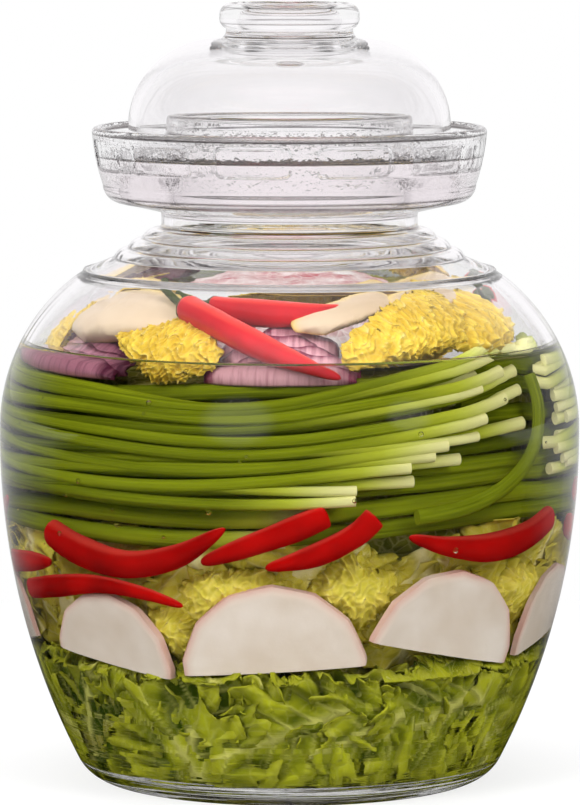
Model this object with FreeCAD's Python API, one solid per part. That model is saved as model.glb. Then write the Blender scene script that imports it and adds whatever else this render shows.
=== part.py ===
"""Water seal pickle jar, filled and closed.

A pressed glass jar carries a water moat round its neck. A loose glass lid stands in the moat, and
the water round its skirt seals the jar. Inside are brine and the packed vegetables.
Millimetres, +Z up, origin at the centre of the base. Turns are degrees round Z from the front (-Y),
positive towards +X.
"""
import FreeCAD
import Part
import math
import os
from FreeCAD import Vector

# Jar body
BODY_R = 110.0            # greatest outer radius
BELLY_Z = 131.0           # height where the lower wall stands upright
BELLY_BAND = 3.0          # upright band above it
LOWER_ARC_R = 270.0       # curve of the lower wall
SHOULDER_H = 59.87        # rise of the shoulder curve, up to the ridge
WALL = 4.0                # glass thickness
FLOOR_T = 7.0             # thick glass floor
HEEL_R = 16.0             # outer rounding between wall and base
INNER_HEEL_R = 12.0
PUNT_R = 50.0             # hollow under the base
PUNT_DEPTH = 1.5
PUNT_BEVEL = 4.0
RIDGE_R = 78.0            # moulded line that ends the shoulder curve
SLOPE_W = 11.5            # plain slope inside the ridge
SLOPE_H = 5.0
STEP_COUNT = 3            # moulded rings below the neck
STEP_BULGE = 1.1
SHOULDER_RISE = 16.0      # ridge to neck root

# Neck and moat
NECK_R = 48.5             # outer radius
NECK_WALL = 4.0
NECK_FILLET = 2.0
NECK_LENGTH = 7.0         # neck root to the underside of the moat
NECK_TAPER = 2.0          # the neck draws in towards the lip
MOUTH_H = 31.5            # moat floor to lip
LIP_ROUND = 2.0           # height of the rounding at a glass lip
MOAT_FLOOR_T = 5.5
MOAT_RISE = 3.0           # fall of the underside towards the neck
MOAT_DEPTH = 26.0
MOAT_WALL = 3.6
MOAT_CORNER = 7.0         # rounding of the bowl
MOAT_LEAN = 4.0           # outward lean of the moat wall
INNER_CHANNEL = 9.5       # water between neck and lid skirt
OUTER_CHANNEL = 10.1      # water between lid skirt and moat wall
PANEL_COUNT = 12          # sunk panels round the moat wall
PANEL_SWEEP = 21.5
PANEL_TURN = -21.5        # turn of the first panel's start
PANEL_DEPTH = 0.7
PANEL_MARGIN = 2.5        # plain band above and below the panels

# Lid
LID_WALL = 3.0
SEAT_GAP = 0.3            # lid skirt to moat floor
SKIRT_H = 26.5
DOME_H = 32.0
DOME_IN_R = 27.5          # where the dome meets the knob
ROOF_T = 4.5
NUB_R = 6.0               # drip nub under the roof
NUB_TIP_R = 1.5
NUB_H = 2.0
KNOB_R = 26.4             # rim of the hollow knob
KNOB_WAIST_R = 24.0
KNOB_WAIST_H = 4.2
KNOB_RIM_H = 8.8
KNOB_H = 13.8
KNOB_IN_R = 19.5
KNOB_FILLET = 2.0

# Water and brine
WATER_DEPTH = 15.3        # seal water above the moat floor
WATER_GAP = 0.3
BRINE_Z = 166.0           # brine level
BRINE_GAP = 0.3           # brine to glass
BRINE_SKIN = 1.5          # free brine between glass and vegetables
PACK_GAP = 0.4            # brine to vegetables

# Vegetables
PIECE_GAP = 0.6           # room between neighbouring pieces
LEAF_T = 6.0              # outer cabbage leaves, folded
LEAF_LOW_Z = 20.0
LEAF_TOP_Z = 49.5
LEAF_COUNT = 6
CORE_SECTORS = 3          # cabbage wedges in the middle
CORE_TOP_Z = 156.0
NAPA_LEAF_T = 3.0         # napa leaves behind the radish
NAPA_LEAF_INSET = 14.0
NAPA_LEAF_TOP_Z = 98.0
RADISH_T = 5.0
RADISH_LEAN = 14.0        # degrees the slices lean out with the wall
RIM_STEPS = 12            # steps along a slice's rim where its room is measured
CHILI_R = 5.6             # thickest chili
CHILI_GAP = 0.5           # room outside a chili's curve
BLUNT_LENGTH = 0.7        # rounded end of a chili, in its radius there
BLUNT_SHARE = 0.45
STEM_R = 3.2
STEM_PITCH = 6.85
STEM_TILT = 1.5           # degrees, right end up
STEM_LOW_Z = 120.8        # lowest outer row
STEM_ROWS = 6
INNER_STEM_PITCH = 7.0
INNER_STEM_ROWS = 8
INNER_STEM_LOW_Z = 104.8
INNER_STEMS_ROUND = 3
INNER_STEM_SHIFT = 7.0    # degrees from row to row
BENT_STEM_R = 3.1
TOP_GAP = 0.4             # top layer over the stems
TOP_ROOM = 6.9            # top layer to the ridge
NAPA_HEART_T = 15.0
MOUND_INSET = 39.8        # loose leaves to the packing surface
MOUND_H = 24.0
MOUND_FLAT_R = 10.0
ONION_T = 3.2             # one onion layer
ONION_LAYERS = 3
ONION_WIDTH = 12.0
ONION_TRIM = 4.0          # degrees each inner layer is shorter at both ends

# Derived heights and radii
SHOULDER_Z = BELLY_Z + BELLY_BAND
SHOULDER_ARC_R = ((BODY_R - RIDGE_R) ** 2 + SHOULDER_H ** 2) / (2 * (BODY_R - RIDGE_R))
SHOULDER_IN_R = BODY_R - SHOULDER_ARC_R
LOWER_IN_R = BODY_R - LOWER_ARC_R
RIDGE_Z = SHOULDER_Z + SHOULDER_H
TOP_HIGH_Z = RIDGE_Z - TOP_ROOM
NECK_ROOT_Z = RIDGE_Z + SHOULDER_RISE
NECK_IN_R = NECK_R - NECK_WALL
MOAT_UNDER_Z = NECK_ROOT_Z + NECK_LENGTH
MOAT_FLOOR_Z = MOAT_UNDER_Z + MOAT_FLOOR_T
MOAT_RIM_Z = MOAT_FLOOR_Z + MOAT_DEPTH
LIP_Z = MOAT_FLOOR_Z + MOUTH_H
SKIRT_IN_R = NECK_R + INNER_CHANNEL
SKIRT_R = SKIRT_IN_R + LID_WALL
MOAT_IN_R = SKIRT_R + OUTER_CHANNEL
MOAT_R = MOAT_IN_R + MOAT_WALL
SEAT_Z = MOAT_FLOOR_Z + SEAT_GAP
SKIRT_TOP_Z = SEAT_Z + SKIRT_H
ROOF_Z = SKIRT_TOP_Z + DOME_H
PACK_INSET = WALL + BRINE_GAP + BRINE_SKIN + PACK_GAP
PACK_FLOOR_Z = FLOOR_T + BRINE_GAP + BRINE_SKIN + PACK_GAP
STEM_RISE = math.sin(math.radians(STEM_TILT)) * BODY_R + STEM_R
INNER_STEM_INSET = 2 * CHILI_R + CHILI_GAP + PIECE_GAP
STEM_TOP_Z = STEM_LOW_Z + (STEM_ROWS - 1) * STEM_PITCH
INNER_STEM_TOP_Z = INNER_STEM_LOW_Z + (INNER_STEM_ROWS - 1) * INNER_STEM_PITCH
TOP_LOW_Z = max(STEM_TOP_Z, INNER_STEM_TOP_Z) + STEM_RISE + TOP_GAP

ORIGIN = Vector(0, 0, 0)
UP = Vector(0, 0, 1)
QUARTER = math.sqrt(0.5)


# Profile helpers

def flat(point):
    """A profile point (radius, height) in the XZ plane."""
    return Vector(point[0], 0, point[1])


def profile(start, *steps):
    """A closed face: a step (r, z) is a straight edge, ((r, z), (r, z)) an arc through the first."""
    edges = []
    here = start
    for step in steps:
        if isinstance(step[0], tuple):
            middle, there = step
            edges.append(Part.Arc(flat(here), flat(middle), flat(there)).toShape())
        else:
            there = step
            edges.append(Part.LineSegment(flat(here), flat(there)).toShape())
        here = there
    return Part.Face(Part.Wire(edges))


def lathe(face, start=0.0, sweep=360.0):
    """Turn a profile round Z, from a start angle measured from the front."""
    solid = face.revolve(ORIGIN, UP, sweep)
    solid.rotate(ORIGIN, UP, start - 90.0)
    return solid


def rounded(start, end, upright):
    """An arc step between an upright and a level edge, for profile()."""
    run, rise = end[0] - start[0], end[1] - start[1]
    across, along = (1 - QUARTER, QUARTER) if upright else (QUARTER, 1 - QUARTER)
    return (start[0] + run * across, start[1] + rise * along), end


def body_radius(z, inset=0.0):
    """Radius of the body's wall at a height, measured inwards from the outside by inset."""
    if z < BELLY_Z:
        return LOWER_IN_R + math.sqrt((LOWER_ARC_R - inset) ** 2 - (BELLY_Z - z) ** 2)
    if z <= SHOULDER_Z:
        return BODY_R - inset
    return SHOULDER_IN_R + math.sqrt(max((SHOULDER_ARC_R - inset) ** 2 - (z - SHOULDER_Z) ** 2, 0.0))


def pack_radius(z):
    """Radius of the space that the vegetables may fill."""
    return body_radius(z, PACK_INSET)


def wall_arc(low, high, inset):
    """An arc step up or down the body's wall between two heights."""
    middle = (low + high) / 2
    return (body_radius(middle, inset), middle), (body_radius(high, inset), high)


def heel(floor, radius, inset):
    """Centre radius of the rounding at a floor, and the point where it meets the lower wall."""
    reach = LOWER_ARC_R - inset - radius
    rise = BELLY_Z - floor - radius
    centre = LOWER_IN_R + math.sqrt(reach ** 2 - rise ** 2)
    scale = (LOWER_ARC_R - inset) / reach
    return centre, (LOWER_IN_R + (centre - LOWER_IN_R) * scale, BELLY_Z - rise * scale)


def heel_arc(floor, radius, inset):
    """The arc step from a floor up to the lower wall, and where it starts."""
    centre, end = heel(floor, radius, inset)
    lean = math.atan2(end[1] - floor - radius, end[0] - centre)
    half = (lean - math.pi / 2) / 2
    middle = (centre + radius * math.cos(half), floor + radius + radius * math.sin(half))
    return (centre, floor), (middle, end)


def wall_point(turn, z, inset):
    """A point inset from the packing surface, at a turn and a height."""
    radius = pack_radius(z) - inset
    angle = math.radians(turn)
    return Vector(radius * math.sin(angle), -radius * math.cos(angle), z)


# Glass

def moulded_steps():
    """Arc steps of the rings between the shoulder's slope and the neck."""
    start = (RIDGE_R - SLOPE_W, RIDGE_Z + SLOPE_H)
    run = (NECK_R + NECK_FILLET - start[0]) / STEP_COUNT
    rise = (NECK_ROOT_Z - start[1]) / STEP_COUNT
    length = math.hypot(run, rise)
    steps = []
    for i in range(STEP_COUNT):
        middle = (start[0] + run * (i + 0.5) + STEP_BULGE * rise / length,
                  start[1] + rise * (i + 0.5) - STEP_BULGE * run / length)
        steps.append((middle, (start[0] + run * (i + 1), start[1] + rise * (i + 1))))
    return start, steps


def moat_wall_points(offset):
    """Corner and rim points of the moat's wall, on the outside moved in by offset."""
    foot = (MOAT_R - MOAT_LEAN - offset, MOAT_UNDER_Z + MOAT_RISE + MOAT_CORNER)
    rim = (MOAT_R - offset, MOAT_RIM_Z - LIP_ROUND)
    middle = ((foot[0] + rim[0]) / 2 + MOAT_LEAN / 6, (foot[1] + rim[1]) / 2)
    return foot, middle, rim


def jar_body():
    """Jar, neck and moat, pressed in one piece of glass."""
    base, heel_step = heel_arc(0.0, HEEL_R, 0.0)
    heel_top = heel_step[1]
    slope_end, steps = moulded_steps()
    foot, side, rim = moat_wall_points(0.0)
    in_foot, in_side, in_rim = moat_wall_points(MOAT_WALL)
    under = (foot[0] - MOAT_CORNER, MOAT_UNDER_Z + MOAT_RISE)
    rim_top = ((rim[0] + in_rim[0]) / 2, MOAT_RIM_Z)
    floor_edge = (in_foot[0] - MOAT_CORNER, MOAT_FLOOR_Z)
    lip_out = (NECK_R - NECK_TAPER, LIP_Z - LIP_ROUND)
    lip_in = (lip_out[0] - NECK_WALL, lip_out[1])
    lip_top = ((lip_out[0] + lip_in[0]) / 2, LIP_Z)
    shrink = (SHOULDER_ARC_R - WALL) / SHOULDER_ARC_R
    in_ridge = (SHOULDER_IN_R + (RIDGE_R - SHOULDER_IN_R) * shrink,
                SHOULDER_Z + (RIDGE_Z - SHOULDER_Z) * shrink)
    in_neck = (NECK_IN_R, NECK_ROOT_Z - NECK_FILLET)
    in_floor, in_heel_step = heel_arc(FLOOR_T, INNER_HEEL_R, WALL)
    in_heel_top, in_heel_middle = in_heel_step[1], in_heel_step[0]
    glass = lathe(profile(
        (0.0, PUNT_DEPTH),
        (PUNT_R - PUNT_BEVEL, PUNT_DEPTH),
        (PUNT_R, 0.0),
        base,
        heel_step,
        wall_arc(heel_top[1], BELLY_Z, 0.0),
        (BODY_R, SHOULDER_Z),
        wall_arc(SHOULDER_Z, RIDGE_Z, 0.0),
        slope_end,
        *steps,
        rounded((NECK_R + NECK_FILLET, NECK_ROOT_Z), (NECK_R, NECK_ROOT_Z + NECK_FILLET), False),
        (NECK_R, MOAT_UNDER_Z - NECK_FILLET),
        rounded((NECK_R, MOAT_UNDER_Z - NECK_FILLET), (NECK_R + NECK_FILLET, MOAT_UNDER_Z), True),
        under,
        rounded(under, foot, False),
        (side, rim),
        rounded(rim, rim_top, True),
        rounded(rim_top, in_rim, False),
        (in_side, in_foot),
        rounded(in_foot, floor_edge, True),
        (NECK_R + NECK_FILLET, MOAT_FLOOR_Z),
        rounded((NECK_R + NECK_FILLET, MOAT_FLOOR_Z), (NECK_R, MOAT_FLOOR_Z + NECK_FILLET), False),
        lip_out,
        rounded(lip_out, lip_top, True),
        rounded(lip_top, lip_in, False),
        in_neck,
        in_ridge,
        wall_arc(in_ridge[1], SHOULDER_Z, WALL),
        (BODY_R - WALL, BELLY_Z),
        wall_arc(BELLY_Z, in_heel_top[1], WALL),
        (in_heel_middle, in_floor),
        (0.0, FLOOR_T),
        (0.0, PUNT_DEPTH)))
    return glass.cut(Part.makeCompound(moat_panels()))


def moat_panels():
    """Cutters of the sunk panels round the moat's wall."""
    foot, _, rim = moat_wall_points(PANEL_DEPTH)
    low = foot[1] + PANEL_MARGIN
    high = rim[1] - PANEL_MARGIN
    slope = (rim[0] - foot[0]) / (rim[1] - foot[1])
    low_r = foot[0] + slope * (low - foot[1])
    high_r = foot[0] + slope * (high - foot[1])
    bulge = MOAT_LEAN / 6
    panel = profile((low_r, low), ((low_r / 2 + high_r / 2 + bulge, (low + high) / 2), (high_r, high)),
                    (MOAT_R + MOAT_LEAN, high), (MOAT_R + MOAT_LEAN, low), (low_r, low))
    pitch = 360.0 / PANEL_COUNT
    return [lathe(panel, PANEL_TURN + i * pitch, PANEL_SWEEP) for i in range(PANEL_COUNT)]


def lid():
    """Domed lid with a skirt that stands in the moat and a hollow knob, open at the top."""
    skirt_top = (SKIRT_R, SKIRT_TOP_Z)
    dome_end = (DOME_IN_R, ROOF_Z)
    waist = (KNOB_WAIST_R, ROOF_Z + KNOB_WAIST_H)
    knob_rim = (KNOB_R, ROOF_Z + KNOB_RIM_H)
    knob_top = ((KNOB_R + KNOB_IN_R) / 2, ROOF_Z + KNOB_H)
    knob_in = (KNOB_IN_R, ROOF_Z + KNOB_RIM_H)
    in_dome_end = (DOME_IN_R, ROOF_Z - ROOF_T)
    in_skirt_top = (SKIRT_IN_R, SKIRT_TOP_Z)
    foot_round = LID_WALL / 2
    foot_mid = (SKIRT_R - foot_round, SEAT_Z)
    foot_in = (SKIRT_IN_R, SEAT_Z + foot_round)
    foot_out = (SKIRT_R, SEAT_Z + foot_round)
    nub_edge = (NUB_R, ROOF_Z - ROOF_T)
    return lathe(profile(
        (0.0, ROOF_Z),
        (KNOB_IN_R - KNOB_FILLET, ROOF_Z),
        rounded((KNOB_IN_R - KNOB_FILLET, ROOF_Z), (KNOB_IN_R, ROOF_Z + KNOB_FILLET), False),
        knob_in,
        rounded(knob_in, knob_top, True),
        rounded(knob_top, knob_rim, False),
        rounded(knob_rim, waist, True),
        rounded(waist, dome_end, True),
        rounded(dome_end, skirt_top, False),
        foot_out,
        rounded(foot_out, foot_mid, True),
        rounded(foot_mid, foot_in, False),
        in_skirt_top,
        rounded(in_skirt_top, in_dome_end, True),
        nub_edge,
        rounded(nub_edge, (NUB_TIP_R, ROOF_Z - ROOF_T - NUB_H), True),
        (0.0, ROOF_Z - ROOF_T - NUB_H),
        (0.0, ROOF_Z)))


# Liquids

def seal_water():
    """Water in the moat, one ring inside the lid's skirt and one outside."""
    level = MOAT_FLOOR_Z + WATER_DEPTH
    bed = MOAT_FLOOR_Z + WATER_GAP
    neck = NECK_R + WATER_GAP
    inner = profile((neck + NECK_FILLET, bed), (SKIRT_IN_R - WATER_GAP, bed),
                    (SKIRT_IN_R - WATER_GAP, level), (neck, level), (neck, bed + NECK_FILLET),
                    (neck + NECK_FILLET, bed))
    foot, side, rim = moat_wall_points(MOAT_WALL + WATER_GAP)
    share = (level - foot[1]) / (rim[1] - foot[1])
    edge = foot[0] + (rim[0] - foot[0]) * share
    corner = (SKIRT_R + WATER_GAP + MOAT_CORNER / 4, bed)
    outer = profile((SKIRT_R + WATER_GAP, bed), corner, foot, (edge, level),
                    (SKIRT_R + WATER_GAP, level), (SKIRT_R + WATER_GAP, bed))
    return Part.makeCompound([lathe(inner), lathe(outer)])


def brine():
    """The free brine between the glass and the packed vegetables, as a cup."""
    out_inset = WALL + BRINE_GAP
    in_inset = out_inset + BRINE_SKIN
    bed = FLOOR_T + BRINE_GAP
    out_floor, out_heel = heel_arc(bed, INNER_HEEL_R - BRINE_GAP, out_inset)
    in_floor, in_heel = heel_arc(bed + BRINE_SKIN, INNER_HEEL_R - BRINE_GAP - BRINE_SKIN, in_inset)
    return lathe(profile(
        (0.0, bed),
        out_floor,
        out_heel,
        wall_arc(out_heel[1][1], BELLY_Z, out_inset),
        (BODY_R - out_inset, SHOULDER_Z),
        wall_arc(SHOULDER_Z, BRINE_Z, out_inset),
        (body_radius(BRINE_Z, in_inset), BRINE_Z),
        wall_arc(BRINE_Z, SHOULDER_Z, in_inset),
        (BODY_R - in_inset, BELLY_Z),
        wall_arc(BELLY_Z, in_heel[1][1], in_inset),
        (in_heel[0], in_floor),
        (0.0, bed + BRINE_SKIN),
        (0.0, bed)))


# Vegetables

def wall_sector(low, high, inset, thick, start, sweep):
    """A curved plate that lies along the wall between two heights and two turns."""
    def arc(bottom, top, depth):
        middle = (bottom + top) / 2
        return (pack_radius(middle) - depth, middle), (pack_radius(top) - depth, top)
    first = (pack_radius(low) - inset, low)
    back = inset + thick
    face = profile(first, arc(low, high, inset), (pack_radius(high) - back, high),
                   arc(high, low, back), first)
    return lathe(face, start, sweep)


def cabbage_leaves():
    """Green cabbage leaves pressed against the lower wall."""
    pitch = 360.0 / LEAF_COUNT
    gap = math.degrees(PIECE_GAP / pack_radius(LEAF_LOW_Z))
    return [wall_sector(LEAF_LOW_Z, LEAF_TOP_Z, 0.0, LEAF_T, i * pitch - pitch / 2, pitch - gap)
            for i in range(LEAF_COUNT)]


def core_radius():
    """Radius of the cabbage wedges behind the napa leaves."""
    return pack_radius(LEAF_TOP_Z) - NAPA_LEAF_INSET - NAPA_LEAF_T - PIECE_GAP


def cabbage_wedges():
    """Cabbage wedges that fill the middle of the jar."""
    hollow = PIECE_GAP * 2
    core_r = core_radius()
    wide_r = stem_reach(INNER_STEM_TOP_Z, INNER_STEM_INSET) - STEM_R - PIECE_GAP
    bed_r = heel(FLOOR_T, INNER_HEEL_R, WALL)[0] - LEAF_T
    low_r = pack_radius(LEAF_LOW_Z) - LEAF_T - PIECE_GAP
    top_r = pack_radius(LEAF_TOP_Z) - LEAF_T - PIECE_GAP
    middle = (LEAF_LOW_Z + LEAF_TOP_Z) / 2
    middle_r = pack_radius(middle) - LEAF_T - PIECE_GAP
    ledge = NAPA_LEAF_TOP_Z + PIECE_GAP
    face = profile((hollow, PACK_FLOOR_Z), (bed_r, PACK_FLOOR_Z), (low_r, LEAF_LOW_Z),
                   ((middle_r, middle), (top_r, LEAF_TOP_Z)), (core_r, LEAF_TOP_Z), (core_r, ledge),
                   (wide_r, ledge), (wide_r, CORE_TOP_Z), (hollow, CORE_TOP_Z), (hollow, PACK_FLOOR_Z))
    pitch = 360.0 / CORE_SECTORS
    gap = math.degrees(PIECE_GAP / core_r)
    return [lathe(face, i * pitch, pitch - gap) for i in range(CORE_SECTORS)]


def napa_leaves():
    """Pale napa leaves behind the radish slices and the chilies."""
    pitch = 360.0 / LEAF_COUNT
    gap = math.degrees(PIECE_GAP / core_radius())
    low = LEAF_TOP_Z + PIECE_GAP
    return [wall_sector(low, NAPA_LEAF_TOP_Z, NAPA_LEAF_INSET, NAPA_LEAF_T, i * pitch, pitch - gap)
            for i in range(LEAF_COUNT)]


def radish_slice(turn, low, half_sweep, height, roll):
    """A round-backed radish slice, pushed out until its rim meets the brine along the wall."""
    lean = math.radians(RADISH_LEAN)
    half = pack_radius(low) * math.sin(math.radians(half_sweep))
    radius = (half ** 2 + height ** 2) / (2 * height)
    first = math.asin((radius - height) / radius)
    turns = [first + (math.pi - 2 * first) * i / RIM_STEPS for i in range(RIM_STEPS + 1)]
    tilt = FreeCAD.Rotation(Vector(0, 1, 0), -roll)
    rim = [tilt.multVec(Vector(radius * math.cos(a), 0, radius * math.sin(a) + height - radius)) for a in turns]
    foot = Vector(0, 0, min(point.z for point in rim))
    rim = [point - foot for point in rim]
    reach = []
    for point in rim:
        limit = math.sqrt(pack_radius(low + point.z * math.cos(lean)) ** 2 - point.x ** 2)
        reach.append(limit - point.z * math.sin(lean))
    back = Part.Arc(rim[0], rim[RIM_STEPS // 2], rim[-1]).toShape()
    face = Part.Face(Part.Wire([back, Part.LineSegment(rim[-1], rim[0]).toShape()]))
    solid = face.extrude(Vector(0, RADISH_T, 0))
    solid.rotate(ORIGIN, Vector(1, 0, 0), RADISH_LEAN)
    solid.translate(Vector(0, -min(reach), low))
    solid.rotate(ORIGIN, UP, turn)
    return solid


def section(centre, along, outward, radius):
    """A circle square to a path, with its seam on the outward side."""
    side = along.cross(outward)
    turn = FreeCAD.Rotation(side.cross(along), side, along, "ZXY")
    circle = Part.Wire(Part.Circle(ORIGIN, UP, radius).toShape())
    circle.Placement = FreeCAD.Placement(centre, turn)
    return circle


def smooth(stations):
    """The stations with one more between each pair, on a smooth curve."""
    last = len(stations) - 1
    finer = []
    for i in range(last):
        near, far = stations[i], stations[i + 1]
        before, after = stations[max(i - 1, 0)], stations[min(i + 2, last)]
        finer.append(near)
        finer.append(tuple((9 * (n + f) - p - a) / 16 for p, n, f, a in zip(before, near, far, after)))
    finer.append(stations[last])
    return finer


def raised(stations, rise):
    """The same stations, moved up."""
    return [(turn, z + rise, inset, share) for turn, z, inset, share in stations]


def tube(stations, thick, blunt):
    """A tube along the wall through (turn, z, inset, share of its thickness) stations."""
    finer = smooth(stations)
    radii = [thick * station[3] for station in finer]
    points = [wall_point(turn, z, inset + CHILI_GAP + radius)
              for (turn, z, inset, _), radius in zip(finer, radii)]
    last = len(points) - 1
    sections = []
    for i, centre in enumerate(points):
        along = points[min(i + 1, last)].sub(points[max(i - 1, 0)])
        along.normalize()
        outward = Vector(centre.x, centre.y, 0)
        if i == 0 and blunt:
            cap = centre.sub(along * (BLUNT_LENGTH * radii[0]))
            sections.append(section(cap, along, outward, BLUNT_SHARE * radii[0]))
        sections.append(section(centre, along, outward, radii[i]))
    return Part.makeLoft(sections, True, False)


def stem_reach(z, inset):
    """Radius of a row of stems whose tilted ends still clear the wall."""
    return min(pack_radius(z - STEM_RISE), pack_radius(z), pack_radius(z + STEM_RISE)) - STEM_R - inset


def stem_row(z, inset, start, sweep):
    """A stem bent round the jar in a nearly level plane, square at both ends."""
    circle = Part.Circle(Vector(stem_reach(z, inset), 0, z), Vector(0, 1, 0), STEM_R).toShape()
    solid = lathe(Part.Face(Part.Wire(circle)), start, sweep)
    solid.rotate(Vector(0, 0, z), Vector(0, 1, 0), -STEM_TILT)
    return solid


def outer_stems(starts, ends):
    """One stack of stems against the wall, from the lowest row up."""
    return Part.makeCompound([stem_row(STEM_LOW_Z + i * STEM_PITCH, 0.0, starts[i], ends[i] - starts[i])
                              for i in range(STEM_ROWS)])


def inner_stems():
    """Stems in the second layer, a few to a row, with the rows shifted round."""
    length = 360.0 / INNER_STEMS_ROUND
    gap = math.degrees(PIECE_GAP / core_radius()) * 2
    return Part.makeCompound([
        stem_row(INNER_STEM_LOW_Z + i * INNER_STEM_PITCH, INNER_STEM_INSET, j * length + i * INNER_STEM_SHIFT,
                 length - gap)
        for i in range(INNER_STEM_ROWS) for j in range(INNER_STEMS_ROUND)])


def napa_heart(start, sweep, low):
    """A pale napa heart on top, bent along the shoulder."""
    return wall_sector(low, TOP_HIGH_Z, 0.0, NAPA_HEART_T, start, sweep)


def leaf_mound():
    """Loose cabbage heart on top of everything, under the mouth."""
    low = CORE_TOP_Z + PIECE_GAP
    high = low + MOUND_H
    edge = pack_radius(TOP_LOW_Z) - MOUND_INSET
    return lathe(profile((0.0, low), (edge, low), (edge, TOP_LOW_Z),
                         rounded((edge, TOP_LOW_Z), (MOUND_FLAT_R, high), True),
                         (0.0, high), (0.0, low)))


def onion_wedge(start, sweep, low, inset):
    """Nested layers of a purple onion wedge that lean on the wall."""
    layers = []
    for i in range(ONION_LAYERS):
        depth = inset + i * (ONION_T + PIECE_GAP)
        trim = i * ONION_TRIM
        layers.append(wall_sector(low, low + ONION_WIDTH, depth, ONION_T, start + trim, sweep - 2 * trim))
    return Part.makeCompound(layers)


# Places of the pieces, read from the front round to the right

# Radish: turn, lowest height, half of the sweep along the wall, height, roll
RADISH_PLACES = (
    (-45.5, 50.1, 17.6, 27.6, -8.0), (-3.5, 52.0, 21.1, 33.0, 4.0), (38.0, 52.0, 20.4, 32.0, -12.0),
    (79.0, 54.0, 17.6, 28.0, 10.0), (122.0, 51.0, 21.2, 33.0, -6.0), (166.0, 52.0, 20.4, 32.0, 8.0),
    (209.0, 51.0, 21.2, 33.0, -8.0), (266.0, 53.0, 18.4, 29.0, 6.0))

# Chilies: turn, height, inset from the wall and share of the thickness, from the calyx to the tip
CHILI_STATIONS = (
    ((-61.0, 101.5, 0.0, 0.93), (-50.0, 95.5, 0.0, 1.0), (-37.0, 92.5, 0.0, 0.96), (-24.0, 97.0, 0.0, 0.75),
     (-13.0, 108.0, 0.0, 0.25)),
    ((-86.0, 86.0, 0.0, 0.75), (-77.0, 87.5, 0.0, 0.75), (-68.0, 88.8, 0.5, 0.6), (-60.0, 90.0, 1.0, 0.28)),
    ((-75.0, 77.5, 0.0, 0.7), (-60.0, 81.2, 0.0, 0.75), (-45.0, 84.2, 0.0, 0.57), (-33.0, 82.5, 0.0, 0.46),
     (-23.0, 78.5, 0.0, 0.22)),
    ((8.0, 113.0, 0.0, 0.75), (0.0, 107.0, 0.0, 0.82), (-10.0, 100.5, 0.0, 0.7), (-18.5, 95.0, 0.0, 0.28)),
    ((18.0, 112.0, 0.0, 0.75), (13.5, 105.0, 0.0, 0.82), (5.0, 98.0, 0.0, 0.72), (-5.0, 93.5, 0.0, 0.28)),
    ((70.0, 105.5, 0.0, 0.9), (60.0, 100.0, 0.0, 0.96), (48.0, 97.5, 0.0, 0.93), (35.0, 99.5, 0.0, 0.68),
     (25.0, 104.0, 0.0, 0.25)),
    ((86.0, 112.5, 0.0, 0.78), (100.0, 108.5, 0.0, 0.85), (114.0, 106.0, 0.0, 0.75), (128.0, 105.5, 0.0, 0.28)),
    ((81.0, 100.0, 0.0, 0.78), (95.0, 96.0, 0.0, 0.85), (110.0, 95.0, 0.0, 0.75), (124.0, 96.5, 0.0, 0.28)),
    ((131.0, 98.0, 0.0, 0.85), (143.0, 93.5, 0.0, 0.93), (157.0, 93.5, 0.0, 0.82), (170.0, 99.5, 0.0, 0.28)),
    ((176.0, 95.0, 0.0, 0.82), (189.0, 101.0, 0.0, 0.85), (202.0, 107.0, 0.0, 0.7), (214.0, 110.5, 0.0, 0.28)),
    ((200.0, 93.0, 0.0, 0.78), (214.0, 95.5, 0.0, 0.9), (228.0, 99.5, 0.0, 0.78), (241.0, 106.0, 0.0, 0.28)),
    ((247.0, 93.5, 0.0, 0.82), (258.0, 97.5, 0.0, 0.9), (269.0, 103.0, 0.0, 0.75), (280.0, 110.0, 0.0, 0.28)))

# Chilies on top: the same, with heights from the underside of the top layer
TOP_CHILI_STATIONS = (
    ((-31.0, 22.5, 2.0, 0.9), (-20.0, 18.0, 1.0, 0.93), (-10.0, 12.5, 0.0, 0.86), (2.0, 5.0, 0.0, 0.64),
     (11.0, -0.5, 0.0, 0.25)),
    ((-25.0, 19.5, 15.0, 0.78), (-13.0, 17.5, 13.0, 0.86), (2.0, 16.9, 12.5, 0.78), (14.0, 16.5, 12.5, 0.28)),
    ((97.0, 22.0, 2.0, 0.82), (108.0, 18.0, 1.0, 0.86), (120.0, 10.5, 0.0, 0.75), (130.0, 1.5, 0.0, 0.28)))

# Stems: turns of the ends, from the lowest row up
FRONT_STARTS = (-95.0, -98.0, -93.0, -99.0, -92.0, -96.0)
FRONT_ENDS = (16.0, 27.0, 40.0, 46.0, 54.0, 52.0)
SIDE_STARTS = (72.0, 70.0, 74.0, 71.0, 69.0, 71.0)
SIDE_ENDS = (166.0, 160.0, 170.0, 164.0, 161.0, 158.0)
BACK_ENDS = (261.0, 258.0, 263.0, 257.0, 264.0, 260.0)
BACK_GAP = 3.0
BENT_STATIONS = ((62.0, 157.0, 0.0, 1.0), (62.5, 145.0, 0.0, 1.0), (59.0, 131.0, 0.0, 1.0),
                 (50.0, 119.5, 0.0, 1.0), (38.0, 113.0, 0.0, 1.0), (27.0, 111.0, 0.0, 1.0))

# Napa hearts: turn of the start, sweep, underside
NAPA_PLACES = ((-88.0, 53.0, TOP_LOW_Z + ONION_WIDTH), (18.0, 74.0, TOP_LOW_Z + PIECE_GAP),
               (134.0, 62.0, TOP_LOW_Z), (203.0, 62.0, TOP_LOW_Z + ONION_WIDTH))

# Onion wedges: turn of the start, sweep, underside, inset
ONION_PLACES = ((-17.0, 30.0, TOP_LOW_Z, 2 * CHILI_R + 2 * PIECE_GAP + CHILI_GAP),
                (-88.0, 50.0, TOP_LOW_Z - PIECE_GAP, 0.0), (206.0, 54.0, TOP_LOW_Z - PIECE_GAP, 0.0))


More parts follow.
